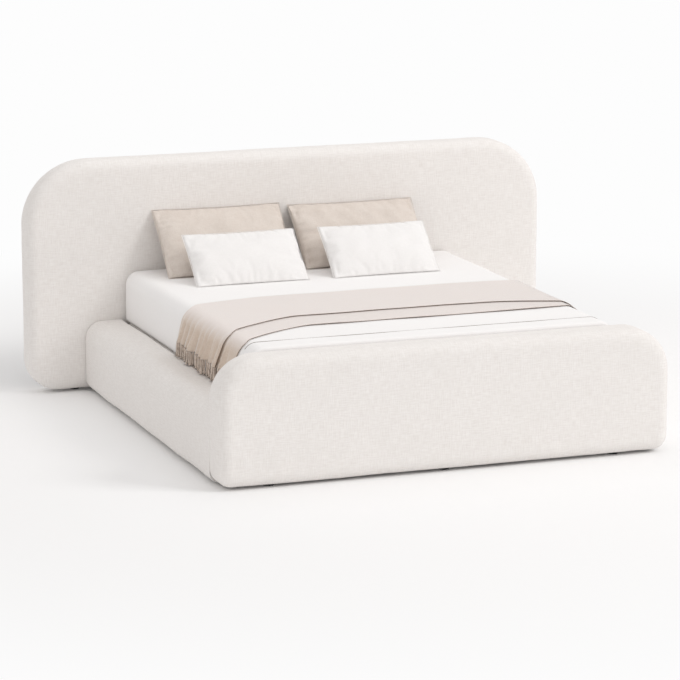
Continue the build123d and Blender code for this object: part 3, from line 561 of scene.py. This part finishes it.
def paddedRail(name, node, side, seed):
    low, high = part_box(node)
    rail = railFacts
    radii = [rail["heelRadius"], rail["footRadius"], rail["outerRadius"], rail["innerRadius"]]
    near, far = (low.x, high.x) if side > 0 else (-high.x, -low.x)
    loop = cornerLoop(near, far, low.z, high.z, radii, rail["cell"])
    middle = np.array([(near + far) / 2, (low.z + high.z) / 2])
    start, endRound, steps = low.y - rail["lap"], rail["endRound"], rail["endSteps"]
    stations = np.concatenate(
        [
            [low.y + rail["cupDepth"]],
            start + endRound * np.linspace(0, 1, steps)[:-1],
            np.linspace(start + endRound, high.y - endRound, rail["lengthSteps"]),
            high.y - endRound * np.linspace(1, 0, steps)[1:],
        ]
    )
    edge = np.clip(np.minimum(stations - start, high.y - stations) / endRound, 0, 1)
    drawn = rail["endDepth"] * (1 - np.sqrt(np.clip(1 - (1 - edge) ** 2, 0, 1)))
    normal = np.gradient(loop, axis=0)
    normal[0] = normal[-1] = loop[1] - loop[-2]
    normal = np.stack([normal[:, 1], -normal[:, 0]], 1)
    normal /= np.linalg.norm(normal, axis=1)[:, None]
    section = loop[None] - normal[None] * drawn[:, None, None]
    section[0] = middle + (loop - middle) * rail["cup"]
    points = np.empty((len(stations), len(loop), 3))
    points[..., 0] = side * section[..., 0]
    points[..., 1] = stations[:, None]
    points[..., 2] = section[..., 1]
    points = points.reshape(-1, 3)
    uv = gridUv(stations[:, None], runLengths(loop)[None])
    faces = gridFaces(len(stations), len(loop))
    first = np.arange(len(loop) - 1)
    ends = np.stack([first[::-1], first + (len(stations) - 1) * len(loop)])
    turned = slice(None) if side < 0 else slice(None, None, -1)
    sections = [(faces[:, turned], uv), (ends[:, turned], uv)]
    piece = meshPiece(name, points, sections, linenUpholstery, "bed_frame")
    settle(piece, rail, seed)
    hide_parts(node, node.replace("_cover", "_foam"))


paddedRail("leftRailCover", "left_rail_cover", -1, 31)
paddedRail("rightRailCover", "right_rail_cover", 1, 37)
print("rails done")

# Box spring under the mattress: its cover, and the dust cloth below
boxFacts = {
    "topRadius": 40 * mm, "bottomRadius": 40 * mm, "frontRound": 25 * mm, "backRound": 8 * mm,
    "cell": 24 * mm, "roundSteps": 4, "hem": 52 * mm, "turnIn": 2 * mm, "counts": (4, 70, 4, 78, 4),
    "slack": 1.5 * mm, "seed": 27, "paintedSheenShare": True,
}
dustClothFacts = {
    **backingFacts, "topRadius": 4 * mm, "bottomRadius": 4 * mm, "counts": (2, 60, 2, 66, 2),
    "give": 0.4 * mm, "hemRadius": 0.7 * mm, "seed": 29, "paintedSheenShare": True,
}
upholster("boxSpringCover", "box_cover", boxFacts, "box_spring", "box_edge_foam", "box_pad")
stretchedCloth("boxSpringDustCloth", "box_dust_cloth", dustClothFacts, "box_spring")
print("box spring done")


# A block sewn from panels, with rounded shoulders and ends, and open below where an opening is given
def sewnBlock(name, block, material, body):
    reach = block["endRound"]
    flat, faces, rim, normal = boardGrid(block, reach, block["counts"])
    rings = sideRings(block, flat[rim], normal, reach, reach, block["roundSteps"])
    sides = [atDepth(ring, y) for ring, y, _ in rings]
    points = np.concatenate([atDepth(flat, block["front"]), *sides, atDepth(flat, block["back"])])
    wall, last = wallFaces(rim, len(flat), len(rings))
    table = np.arange(len(points) - len(flat), len(points))
    table[rim] = last
    girth = runLengths(flat[rim])
    wallUv = np.zeros((len(points), 2))
    wallUv[:, 0] = points[:, 1]
    wallUv[rim, 1] = girth
    wallUv[len(flat) : len(points) - len(flat), 1] = np.tile(girth, len(rings))
    endUv = points[:, (0, 2)]
    if block["openBelow"]:
        centre = points[wall].mean(axis=1)
        middle, half = (block["front"] + block["back"]) / 2, (block["back"] - block["front"]) / 2
        inner = np.abs(centre[:, 0]) < block["halfWidth"] - block["openBelow"]
        inner &= np.abs(centre[:, 1] - middle) < half - block["openBelow"]
        wall = wall[~(inner & (centre[:, 2] < block["bottom"] + 1 * mm))]
    sections = [(faces, endUv), (wall, wallUv), (table[faces][:, ::-1], endUv)]
    return meshPiece(name, points, sections, material, body)


# Fitted sheet pulled over the mattress and tucked under it, and the ticking inside
mattressLow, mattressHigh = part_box("fitted_sheet")
sheetFacts = {
    "halfWidth": mattressHigh.x, "bottom": mattressLow.z, "top": mattressHigh.z,
    "front": mattressLow.y, "back": mattressHigh.y,
    "topRadius": 70 * mm, "bottomRadius": 22 * mm, "endRound": 16 * mm, "roundSteps": 6,
    "openBelow": 110 * mm, "cell": 18 * mm, "counts": (6, 92, 4, 9, 8),
    "thickness": 1.2 * mm, "slack": 0.9 * mm, "wave": 300 * mm,
    "seamRadius": 1.6 * mm, "seamSunk": 0.4, "seamReach": 128 * mm, "seamStart": math.pi / 5,
}
tickingFacts = {
    **sheetFacts, "openBelow": 0, "inset": 3.6 * mm,
    "topRadius": 66 * mm, "bottomRadius": 19 * mm, "endRound": 13 * mm,
}
for key, inwards in (("halfWidth", -1), ("bottom", 1), ("top", -1), ("front", 1), ("back", -1)):
    tickingFacts[key] += inwards * tickingFacts["inset"]
fittedSheet = sewnBlock("fittedSheet", sheetFacts, whitePercale, "mattress")
sheetWander = wander(readPoints(fittedSheet.data), sheetFacts["wave"], 41)
pressIn(fittedSheet, sheetFacts["slack"] * (1 + sheetWander))
thicken(fittedSheet, sheetFacts["thickness"], -1)
ticking = sewnBlock("mattressTicking", tickingFacts, quiltedTicking, "mattress")
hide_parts("fitted_sheet")
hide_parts("mattress_ticking")


def sheetSeam(name, y):  # runs across the sheet from shoulder to shoulder
    radius, top = sheetFacts["topRadius"], mattressHigh.z
    turn = np.linspace(sheetFacts["seamStart"], math.pi / 2, 9)
    right = radius * np.stack([np.cos(turn), np.sin(turn)], 1) + (mattressHigh.x - radius, top - radius)
    middle = np.linspace(right[-1, 0], -right[-1, 0], 80)[1:-1]
    line = np.concatenate([right, np.stack([middle, np.full(len(middle), top)], 1), right[::-1] * (-1, 1)])
    points = atDepth(line - (0, sheetFacts["seamRadius"] * sheetFacts["seamSunk"]), y)
    # the seam's grey is partly a painted shadow line across the sheet's foot
    seam = tubePiece(name, points, sheetFacts["seamRadius"], stitchedCottonShadowLine, "mattress", 6)
    return seam


footSeam = sheetSeam("sheetFootSeam", sheetFacts["front"] + sheetFacts["seamReach"])
print("mattress done")

# Throw: one sheet folded once along its head edge, hanging over both sides. Each edge has its place along the
# bed in the middle, at both shoulders and at the hem.
throwFacts = {
    "hemZ": 440 * mm, "shoulder": 70 * mm, "straight": 480 * mm, "sweep": 1.4,
    "head": {"middle": 92 * mm, "left": -12 * mm, "right": 50 * mm, "hem": 88 * mm},
    "upper": {"middle": -403 * mm, "left": -655 * mm, "right": -530 * mm, "hem": -558 * mm},
    "under": {"middle": -600 * mm, "left": -850 * mm, "right": -585 * mm, "hem": -698 * mm},
    "upperRows": 60, "foldRows": 6, "underRows": 80,
    "dropColumns": 14, "shoulderColumns": 11, "topColumns": 72,
    "underReach": 3.2 * mm, "upperReach": 9 * mm, "thickness": 2.6 * mm,
    "flare": 11 * mm, "flareDepth": 0.035, "flareOnTop": 0.04, "lift": 1.2 * mm, "liftWave": 250 * mm,
    "pleats": 9, "pleatDepth": 32 * mm, "pleatRound": 0.65, "pleatGrowth": 0.8, "pleatLeast": 0.72,
    "pleatShift": (0.9, 2.3, 0.6), "pleatUneven": (0.28, 3.1, 2.0), "fadeLeast": 0.3, "fadeRate": 5,
    "ripples": 21, "rippleDepth": 7 * mm, "ripplePhase": 1.2, "crest": 0.2,
    "hemRadius": 1.0 * mm, "hemShadowGrowth": 1.1, "underHem": 0.7,
}


def throwLine(throw):  # from the left hem to the right hem: place, outward direction and share of the drop
    radius, side, top = throw["shoulder"], mattressHigh.x, mattressHigh.z
    drop = top - radius - throw["hemZ"]
    shares = np.linspace(0, 1, throw["dropColumns"] + 1)[:-1]
    rows = [(-side, throw["hemZ"] + drop * share, -1, 0) for share in shares]
    for turn in np.linspace(0, math.pi / 2, throw["shoulderColumns"] + 1)[:-1]:
        outX, outZ = -math.cos(turn), math.sin(turn)
        rows.append((-side + radius * (1 + outX), top - radius * (1 - outZ), outX, outZ))
    rows += [(x, top, 0, 1) for x in np.linspace(-side + radius, 0, throw["topColumns"])]
    left = np.array(rows)
    line = np.concatenate([left, left[-2::-1] * (-1, 1, -1, 1)])
    crest = top - radius * throw["crest"]
    hang = np.clip((crest - line[:, 1]) / (crest - throw["hemZ"]), 0, 1)
    return line[:, :2], line[:, 2:], hang


# An edge runs straight along the middle, sweeps out over the shoulder and back down the drop
def edgeLine(edge, place, hang):
    x, straight = place[:, 0], throwFacts["straight"]
    shoulder = np.where(x < 0, edge["left"], edge["right"])
    bend = np.clip((np.abs(x) - straight) / (mattressHigh.x - straight), 0, 1) ** throwFacts["sweep"]
    return edge["middle"] + (shoulder - edge["middle"]) * bend + (edge["hem"] - shoulder) * hang


def throwFold(throw):  # from the upper layer's free edge round the head fold to the under layer's free edge
    upper, under = throw["upperReach"], throw["underReach"]
    radius, middle = (upper - under) / 2, (upper + under) / 2
    rows = [("upper", s, upper, 0) for s in np.linspace(0, 1, throw["upperRows"])]
    for turn in np.linspace(0, math.pi, throw["foldRows"] + 2)[1:-1]:
        rows.append(("fold", 1, middle + radius * math.cos(turn), radius * math.sin(turn)))
    return rows + [("under", 1 - s, under, 0) for s in np.linspace(0, 1, throw["underRows"])]


def pleatDepths(throw, share, hang):  # soft folds that grow towards the hem, uneven in width and depth
    turn = 2 * math.pi * share
    waves = (throw["pleatShift"], throw["pleatUneven"])
    shift, uneven = (size * np.sin(count * turn + phase) for size, count, phase in waves)
    warped = throw["pleats"] * turn + shift
    uneven = throw["pleatLeast"] + uneven
    deep = throw["pleatDepth"] * uneven * (0.5 - 0.5 * np.cos(warped)) ** throw["pleatRound"]
    fine = throw["rippleDepth"] * (0.5 + 0.5 * np.sin(throw["ripples"] * turn + throw["ripplePhase"]))
    rate = throw["fadeRate"]  # flat where one layer shows
    fading = np.clip(throw["fadeLeast"] + rate * (1 - share), 0, 1) * np.clip(1 + rate * share, 0, 1)
    return (deep + fine) * hang ** throw["pleatGrowth"] * fading


def throwCloth(throw):
    place, outward, hang = throwLine(throw)
    headY, upperY, underY = (edgeLine(throw[edge], place, hang) for edge in ("head", "upper", "under"))
    flareShare = throw["flareOnTop"] + (1 - throw["flareOnTop"]) * hang
    points = []
    for part, share, reach, ahead in throwFold(throw):
        foot = upperY if part == "upper" else underY
        y = foot + (headY - foot) * share + ahead
        off = reach + pleatDepths(throw, (y - upperY) / (headY - upperY), hang)
        if part == "upper":
            off = off + throw["flare"] * np.exp(-share / throw["flareDepth"]) * flareShare
        points.append(np.insert(place + outward * off[:, None], 1, y, 1))
    points = np.array(points)
    lift = throw["lift"] * (1 + wander(points.reshape(-1, 3) * (1, 1, 0), throw["liftWave"], 53))
    points[..., 2] += lift.reshape(points.shape[:2]) * (1 - hang)
    return points, hang


throwPoints, throwHang = throwCloth(throwFacts)
rowCount, columnCount = throwPoints.shape[:2]
acrossCloth = runLengths(throwPoints[0, :, (0, 2)].T)
alongCloth = runLengths(throwPoints[:, columnCount // 2])
throwUv = gridUv(acrossCloth[None], alongCloth[:, None])
throwFaces = gridFaces(rowCount, columnCount)
throwPiece = meshPiece("throwCloth", throwPoints.reshape(-1, 3), [(throwFaces, throwUv)], throwWool, "throw")
thicken(throwPiece, throwFacts["thickness"])
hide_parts("throw")

hemRadius = throwFacts["hemRadius"] * (1 + throwFacts["hemShadowGrowth"] * throwHang)  # the dark hem widens down the drop: a painted shadow line under the raised edge
upperHem = tubePiece("throwUpperHem", throwPoints[0], hemRadius, bindingYarnAndShadow, "throw")
underRadius = throwFacts["hemRadius"] * throwFacts["underHem"]
underHem = tubePiece("throwUnderHem", throwPoints[-1], underRadius, bindingYarnAndShadow, "throw")


# Fringe: loose strands along both hanging hems, drawn together in bunches. Their ends lie on the rail.
fringeFacts = {
    "length": 90 * mm, "pitch": 7.5 * mm, "bunch": 34 * mm, "gather": 0.62, "shorter": 0.14,
    "knot": 2.3 * mm, "knotShare": 0.12, "strand": 1.7 * mm, "swell": 1.4 * mm, "tip": 0.35,
    "sides": 5, "rings": 9, "twist": 5, "lobe": 0.22, "clearance": 2.5 * mm, "slide": 0.9,
    "lengths": (0.9, 1.04), "leans": (-2, 3), "strays": 2.5, "drift": 8 * mm, "bow": (0.8 * mm, 2.5 * mm),
    "droop": 1.4,
}
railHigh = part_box("left_rail_cover")[1]


def railTop(reach):  # height of the rail's rounded inner shoulder, by distance from the bed's middle
    radius = railFacts["innerRadius"]
    inside = np.clip(radius - (reach + railHigh.x), 0, radius)
    return railHigh.z - radius + np.sqrt(radius**2 - inside**2)


def fringePiece(name, node, column, seed):
    rng = np.random.default_rng(seed)
    fringe, edge = fringeFacts, throwPoints[:, column]
    outside = np.sign(edge[0, 0])
    points, faces, uvs = [], [], []
    sides, rings = fringe["sides"], fringe["rings"]
    turn = np.linspace(0, 2 * math.pi, sides + 1)
    underStart = throwFacts["upperRows"] + throwFacts["foldRows"]
    for line in (edge[: throwFacts["upperRows"]], edge[underStart:]):
        reach = runLengths(line[:, 1:2])
        forward = 1 if line[-1, 1] > line[0, 1] else -1
        for place in np.arange(0.5 * fringe["pitch"], reach[-1], fringe["pitch"]):
            root = np.array([np.interp(place, reach, line[:, k]) for k in range(3)])
            towards = (round(place / fringe["bunch"]) * fringe["bunch"] - place) * forward
            shorter = fringe["shorter"] * (2 * towards / fringe["bunch"]) ** 2
            length = fringe["length"] * (rng.uniform(*fringe["lengths"]) - shorter)
            lean = np.array([-outside * rng.uniform(*fringe["leans"]) * mm, fringe["gather"] * towards])
            lean[1] += rng.normal() * fringe["strays"] * mm + fringe["drift"]
            bow = rng.normal(size=2) * fringe["bow"]
            phase = rng.uniform(0, 2 * math.pi)
            for k in range(rings):
                s = k / (rings - 1)
                x, y = root[:2] + lean * s ** fringe["droop"] + bow * math.sin(math.pi * s)
                z = root[2] - length * s
                low = max(0, railTop(abs(x)) + fringe["clearance"] - z)
                x, z = x + outside * fringe["slide"] * low, z + low
                radius = fringe["knot"] if s < fringe["knotShare"] else fringe["strand"] + fringe["swell"] * s
                radius *= fringe["tip"] if k == rings - 1 else 1
                lobes = radius * (1 + fringe["lobe"] * np.cos(3 * (turn + phase)))
                ring = turn + phase + fringe["twist"] * s
                ringPoints = np.stack([x + lobes * np.cos(ring), y + lobes * np.sin(ring)], 1)
                points.append(np.insert(ringPoints, 2, z, 1))
                uvs.append(np.stack([turn * radius, np.full(sides + 1, length * s)], 1))
            faces.append(gridFaces(rings, sides + 1, (len(points) - rings) * (sides + 1)))
    sections = [(np.concatenate(faces), np.concatenate(uvs))]
    piece = meshPiece(name, np.concatenate(points), sections, tasselYarnPaintedPaler, "throw")
    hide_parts(node)
    return piece


leftFringe = fringePiece("throwFringeLeft", "throw_fringe_left", 0, 61)
rightFringe = fringePiece("throwFringeRight", "throw_fringe_right", -1, 67)
print("throw done")


# Pillows and cushions: two panels sewn round the edge, then filled
caseFacts = {
    "cloth": {
        "quality": 6, "mass": 0.15, "tension_stiffness": 18, "compression_stiffness": 18,
        "shear_stiffness": 6, "bending_stiffness": 0.25, "shrink_min": -0.03,
        "use_pressure": True, "uniform_pressure_force": 4,
    },
    "curve": 0.42, "frames": 20, "settle": 16 * mm, "rest": 20 * mm, "bulge": 2 * mm, "seamRadius": 1.5 * mm,
    "foldWave": 140 * mm, "foldStart": 50 * mm, "slant": 0.2,
    "puckers": [  # at the sides, then at the upper and lower edge
        {"share": 1, "wave": 22 * mm, "reach": 60 * mm, "start": 12 * mm},
        {"share": 0.6, "wave": 18 * mm, "reach": 25 * mm, "start": 8 * mm},
    ],
}
pillowFacts = {
    **caseFacts, "width": 685 * mm, "height": 410 * mm, "thickness": 172 * mm, "start": 90 * mm,
    "cell": 11.5 * mm, "pull": 5 * mm, "cap": 60 * mm, "lean": 45, "press": 3 * mm, "forward": 0,
    "plump": 0.72, "sag": 0.3, "fold": 9 * mm, "pucker": 9 * mm, "seed": 71, "fill": 0.7,
    "slot": "greige_pillow_cotton",
}
cushionFacts = {
    **caseFacts, "width": 592 * mm, "height": 342 * mm, "thickness": 129 * mm, "start": 70 * mm,
    "cell": 10.5 * mm, "pull": 4 * mm, "cap": 50 * mm, "lean": 48, "press": 2 * mm, "forward": 16 * mm,
    "plump": 0.75, "sag": 0.2, "fold": 6 * mm, "pucker": 7 * mm, "seed": 83, "fill": 0.75,
    "slot": "white_cushion_cotton",
}
own = {  # no two are filled quite alike
    "left": ({"height": 422 * mm, "lean": 43.5}, {"forward": 12 * mm}),
    "right": ({"seed": 77}, {"width": 576 * mm, "forward": 22 * mm, "seed": 89}),
}


def caseMesh(case):  # the sides curve in a little, and both panels start out slightly swollen
    across, up = round(case["width"] / case["cell"]), round(case["height"] / case["cell"])
    u, v = np.meshgrid(np.linspace(-1, 1, across + 1), np.linspace(-1, 1, up + 1))
    x = case["width"] / 2 * u * (1 - case["pull"] / case["width"] * 2 * (1 - v * v))
    y = case["height"] / 2 * v * (1 - case["pull"] / case["height"] * 2 * (1 - u * u))
    z = case["start"] / 2 * ((1 - u * u) * (1 - v * v)) ** case["curve"]
    inner = np.arange(u.size).reshape(u.shape)[1:-1, 1:-1].ravel()
    back = np.arange(u.size)
    back[inner] = u.size + np.arange(len(inner))
    points = np.stack([x.ravel(), y.ravel(), z.ravel()], 1)
    points = np.concatenate([points, points[inner] * (1, 1, -1)])
    uv = np.stack([case["width"] / 2 * u.ravel(), case["height"] / 2 * v.ravel()], 1)
    uv = np.concatenate([uv, uv[inner] + (0.9, 0.4)])  # the back panel is cut from another part of the cloth
    faces = gridFaces(*u.shape)
    return points, [(faces, uv), (back[faces][:, ::-1], uv)], rimOf(*u.shape)


def fillCase(piece, case, rim):  # swell the case with pressure, and keep where the cloth has gone
    start = readPoints(piece.data)
    cloth = piece.modifiers.new("filling", "CLOTH")
    held = piece.vertex_groups.new(name="seam")
    held.add(rim.tolist(), 1.0, "REPLACE")
    for key, value in {**case["cloth"], "vertex_group_mass": held.name}.items():
        setattr(cloth.settings, key, value)
    cloth.settings.effector_weights.gravity = 0
    cloth.point_cache.frame_start, cloth.point_cache.frame_end = 1, case["frames"]
    for step in range(case["frames"]):
        bpy.context.scene.frame_set(step + 1)
    shaped = piece.evaluated_get(bpy.context.evaluated_depsgraph_get())
    end = readPoints(shaped.data)
    piece.modifiers.remove(cloth)
    bpy.context.scene.frame_set(1)
    move = end - start
    length = np.linalg.norm(move, axis=1)[:, None]
    writePoints(piece.data, start + move * np.minimum(1, case["cap"] / np.maximum(length, 1e-9)))


# The filling sags, the panels fold softly, and the cloth puckers along the seams
def creasedShape(shape, case):
    x, y, z = shape.T
    halfWidth, halfHeight, seed = case["width"] / 2, case["height"] / 2, case["seed"]
    fromSide, fromEdge = halfWidth - np.abs(x), halfHeight - np.abs(y)
    nearest = np.maximum(np.minimum(fromSide, fromEdge), 0)
    along, across = np.zeros_like(shape), np.zeros_like(shape)
    along[:, 0], across[:, 0] = y + case["slant"] * x, x
    folds = wander(shape * (1, 1, 0), case["foldWave"], seed)
    move = case["fold"] * folds * (1 - np.exp(-nearest / case["foldStart"]))
    for i, (line, distance) in enumerate(((along, fromSide), (across, fromEdge))):
        seam = case["puckers"][i]
        fading = np.exp(-distance / seam["reach"]) * (1 - np.exp(-nearest / seam["start"]))
        move += seam["share"] * case["pucker"] * wander(line, seam["wave"], seed + 1 + i) * fading
    crown = np.abs(z).max()
    full = np.sign(z) * crown * (np.abs(z) / crown) ** case["plump"]
    shape[:, 2] = full * (1 - case["sag"] * y / halfHeight) + np.sign(z) * move
    shape[:, 2] *= case["thickness"] / np.ptp(shape[:, 2])
    return shape


def stuffedPiece(name, case, material, body, coverNode):
    points, sections, rim = caseMesh(case)
    piece = meshPiece(name, points, sections, material, body)
    fillCase(piece, case, rim)
    lean = math.radians(case["lean"])
    turn = np.array([[1, 0, 0], [0, math.sin(lean), math.cos(lean)], [0, -math.cos(lean), math.sin(lean)]])
    low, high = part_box(coverNode)
    shape = creasedShape(readPoints(piece.data), case) @ turn + ((low.x + high.x) / 2, 0, 0)
    shape[:, 1] += high.y - shape[:, 1].max() + case["press"] - case["forward"]
    shape[:, 2] += low.z - shape[:, 2].min() - case["settle"]
    for axis, limit, sign in ((1, high.y, -1), (2, low.z, 1)):  # flat where it rests on the board and the bed
        shape[:, axis] += sign * np.maximum(0, sign * (limit - shape[:, axis]))
        near = np.maximum(0, 1 - sign * (shape[:, axis] - limit) / case["rest"])
        shape[:, 3 - axis] -= sign * case["bulge"] * near
    writePoints(piece.data, shape)
    smooth = piece.modifiers.new("smooth", "SUBSURF")
    smooth.levels = smooth.render_levels = 1
    seam = tubePiece(name + "Seam", shape[rim], case["seamRadius"], material, body, 6, True)
    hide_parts(coverNode, coverNode.replace("_cover", "_fill"))


for side, (pillowOwn, cushionOwn) in own.items():
    pillow, cushion = f"back_pillow_{side}", f"front_cushion_{side}"
    stuffedPiece(f"{side}Pillow", {**pillowFacts, **pillowOwn}, greigeCotton, pillow, pillow + "_cover")
    stuffedPiece(f"{side}Cushion", {**cushionFacts, **cushionOwn}, whiteCotton, cushion, cushion + "_cover")
print("pillows done")

# Finishes of the pieces carried over from the CAD
finishOf = {
    "upholstery_linen": linenUpholstery, "greige_pillow_cotton": greigeCotton, "fibre_fill": crimpedFibre,
    "white_cushion_cotton": whiteCotton, "backing_cloth": blackSpunbond, "white_sheet_cotton": whitePercale,
    "mattress_ticking": quiltedTicking, "throw_weave": throwWool, "foam": cutFoam,
    "spring_pockets": pocketFelt, "zinc_plated_steel": zincSteel, "black_plastic": mouldedPolypropylene,
    "plywood": birchPlywood, "pine_timber": planedPine,
}
for subpart in frame["record"]["subparts"]:
    node = nodes[subpart["node"]]
    node.data.materials.clear()
    node.data.materials.append(finishOf[subpart["material_slot"]])
print("finishes given to the carried-over pieces")

# Floor: white, and away from the bed it fades into the background
floorFacts = {"reach": 14, "fadeStart": 2.2, "fadeEnd": 5.0, "colour": "FDFDFD"}
floorMesh = bpy.data.meshes.new("floor")
reach = floorFacts["reach"]
corners = [(-reach, -reach, 0), (reach, -reach, 0), (reach, reach, 0), (-reach, reach, 0)]
floorMesh.from_pydata(corners, [], [(0, 1, 2, 3)])
material, tree = newMaterial("paleFloor")
place = addNode(tree, "TexCoord").outputs["Object"]
distance = addNode(tree, "VectorMath", {"operation": "LENGTH"}, {0: place})
ends = {"From Min": floorFacts["fadeStart"], "From Max": floorFacts["fadeEnd"]}
smooth = {**ends, "interpolation_type": "SMOOTHSTEP"}
fade = addNode(tree, "MapRange", smooth, {"Value": distance.outputs["Value"]})
colour = hexColour(floorFacts["colour"])
paint = addNode(tree, "BsdfDiffuse", {"Color": colour})
glow = addNode(tree, "Emission", {"Color": colour, "Strength": 1.0})
seen = addNode(tree, "LightPath").outputs["Is Camera Ray"]
straight = addNode(tree, "Math", {"operation": "MULTIPLY"}, {0: fade, 1: seen})
mixed = addNode(tree, "MixShader", {}, {0: straight, 1: paint, 2: glow})
addNode(tree, "OutputMaterial", {}, {"Surface": mixed})
floorMesh.materials.append(material)
newObject("floor", floorMesh)

# Light: an even pale room that looks white to the camera, a soft key high on the right and a weak one above
light = {
    "ambient": 0.72, "ambientColour": "FDFBFA", "seenColour": "FDFDFD",
    "keyLamp": {"place": (12.1, -10.1, 12.7), "aim": (0, 0, 0.4), "size": (7, 6), "watts": 1120},
    "topLamp": {"place": (0, 0.2, 5.5), "aim": (0, 0.21, 0), "size": (5, 5), "watts": 36},
}
world = bpy.data.worlds.new("studio")
bpy.context.scene.world = world
world.use_nodes = True
room = world.node_tree
room.nodes.clear()
ray = addNode(room, "LightPath").outputs
clear = ray["Is Camera Ray"]
for kind in ("Is Glossy Ray", "Is Transmission Ray"):
    clear = addNode(room, "Math", {"operation": "MAXIMUM"}, {0: clear, 1: ray[kind]})
strength = addNode(room, "MapRange", {"To Min": light["ambient"], "To Max": 1.0}, {"Value": clear})
tint = addNode(
    room, "Mix",
    {"data_type": "RGBA", 6: hexColour(light["ambientColour"]), 7: hexColour(light["seenColour"])},
    {0: clear},
)
sky = addNode(room, "Background", {}, {"Color": tint.outputs[2], "Strength": strength})
addNode(room, "OutputWorld", {}, {"Surface": sky})


def softLamp(name, facts):
    lamp = bpy.data.lights.new(name, "AREA")
    lamp.shape = "RECTANGLE"
    lamp.size, lamp.size_y = facts["size"]
    lamp.energy = facts["watts"]
    place = facts["place"]
    ahead = np.subtract(facts["aim"], place)
    ahead /= np.linalg.norm(ahead)
    side = np.cross(ahead, (0, 0, 1))
    side /= np.linalg.norm(side)
    up = np.cross(side, ahead)
    rows = [[side[i], up[i], -ahead[i], place[i]] for i in range(3)]
    newObject(name, lamp).matrix_world = Matrix([*rows, [0, 0, 0, 1]])


for name in ("keyLamp", "topLamp"):
    softLamp(name, light[name])

# Camera, fitted to the photograph's outlines: the focal length is in pixels of a 680 pixel wide picture
cameraFacts = {
    "place": (-5.400114, -14.352921, 3.637404), "turn": -20.2365, "tilt": 11.9551,
    "pixels": 3200, "wide": 680, "sensor": 36,
}
camera = bpy.data.cameras.new("camera")
camera.sensor_width = cameraFacts["sensor"]
camera.lens = cameraFacts["pixels"] / cameraFacts["wide"] * cameraFacts["sensor"]
camera.clip_end = 100
holder = newObject("camera", camera)
holder.location = cameraFacts["place"]
holder.rotation_euler = (math.radians(90 - cameraFacts["tilt"]), 0, math.radians(cameraFacts["turn"]))
bpy.context.scene.camera = holder
bpy.context.scene.view_settings.view_transform = "Standard"
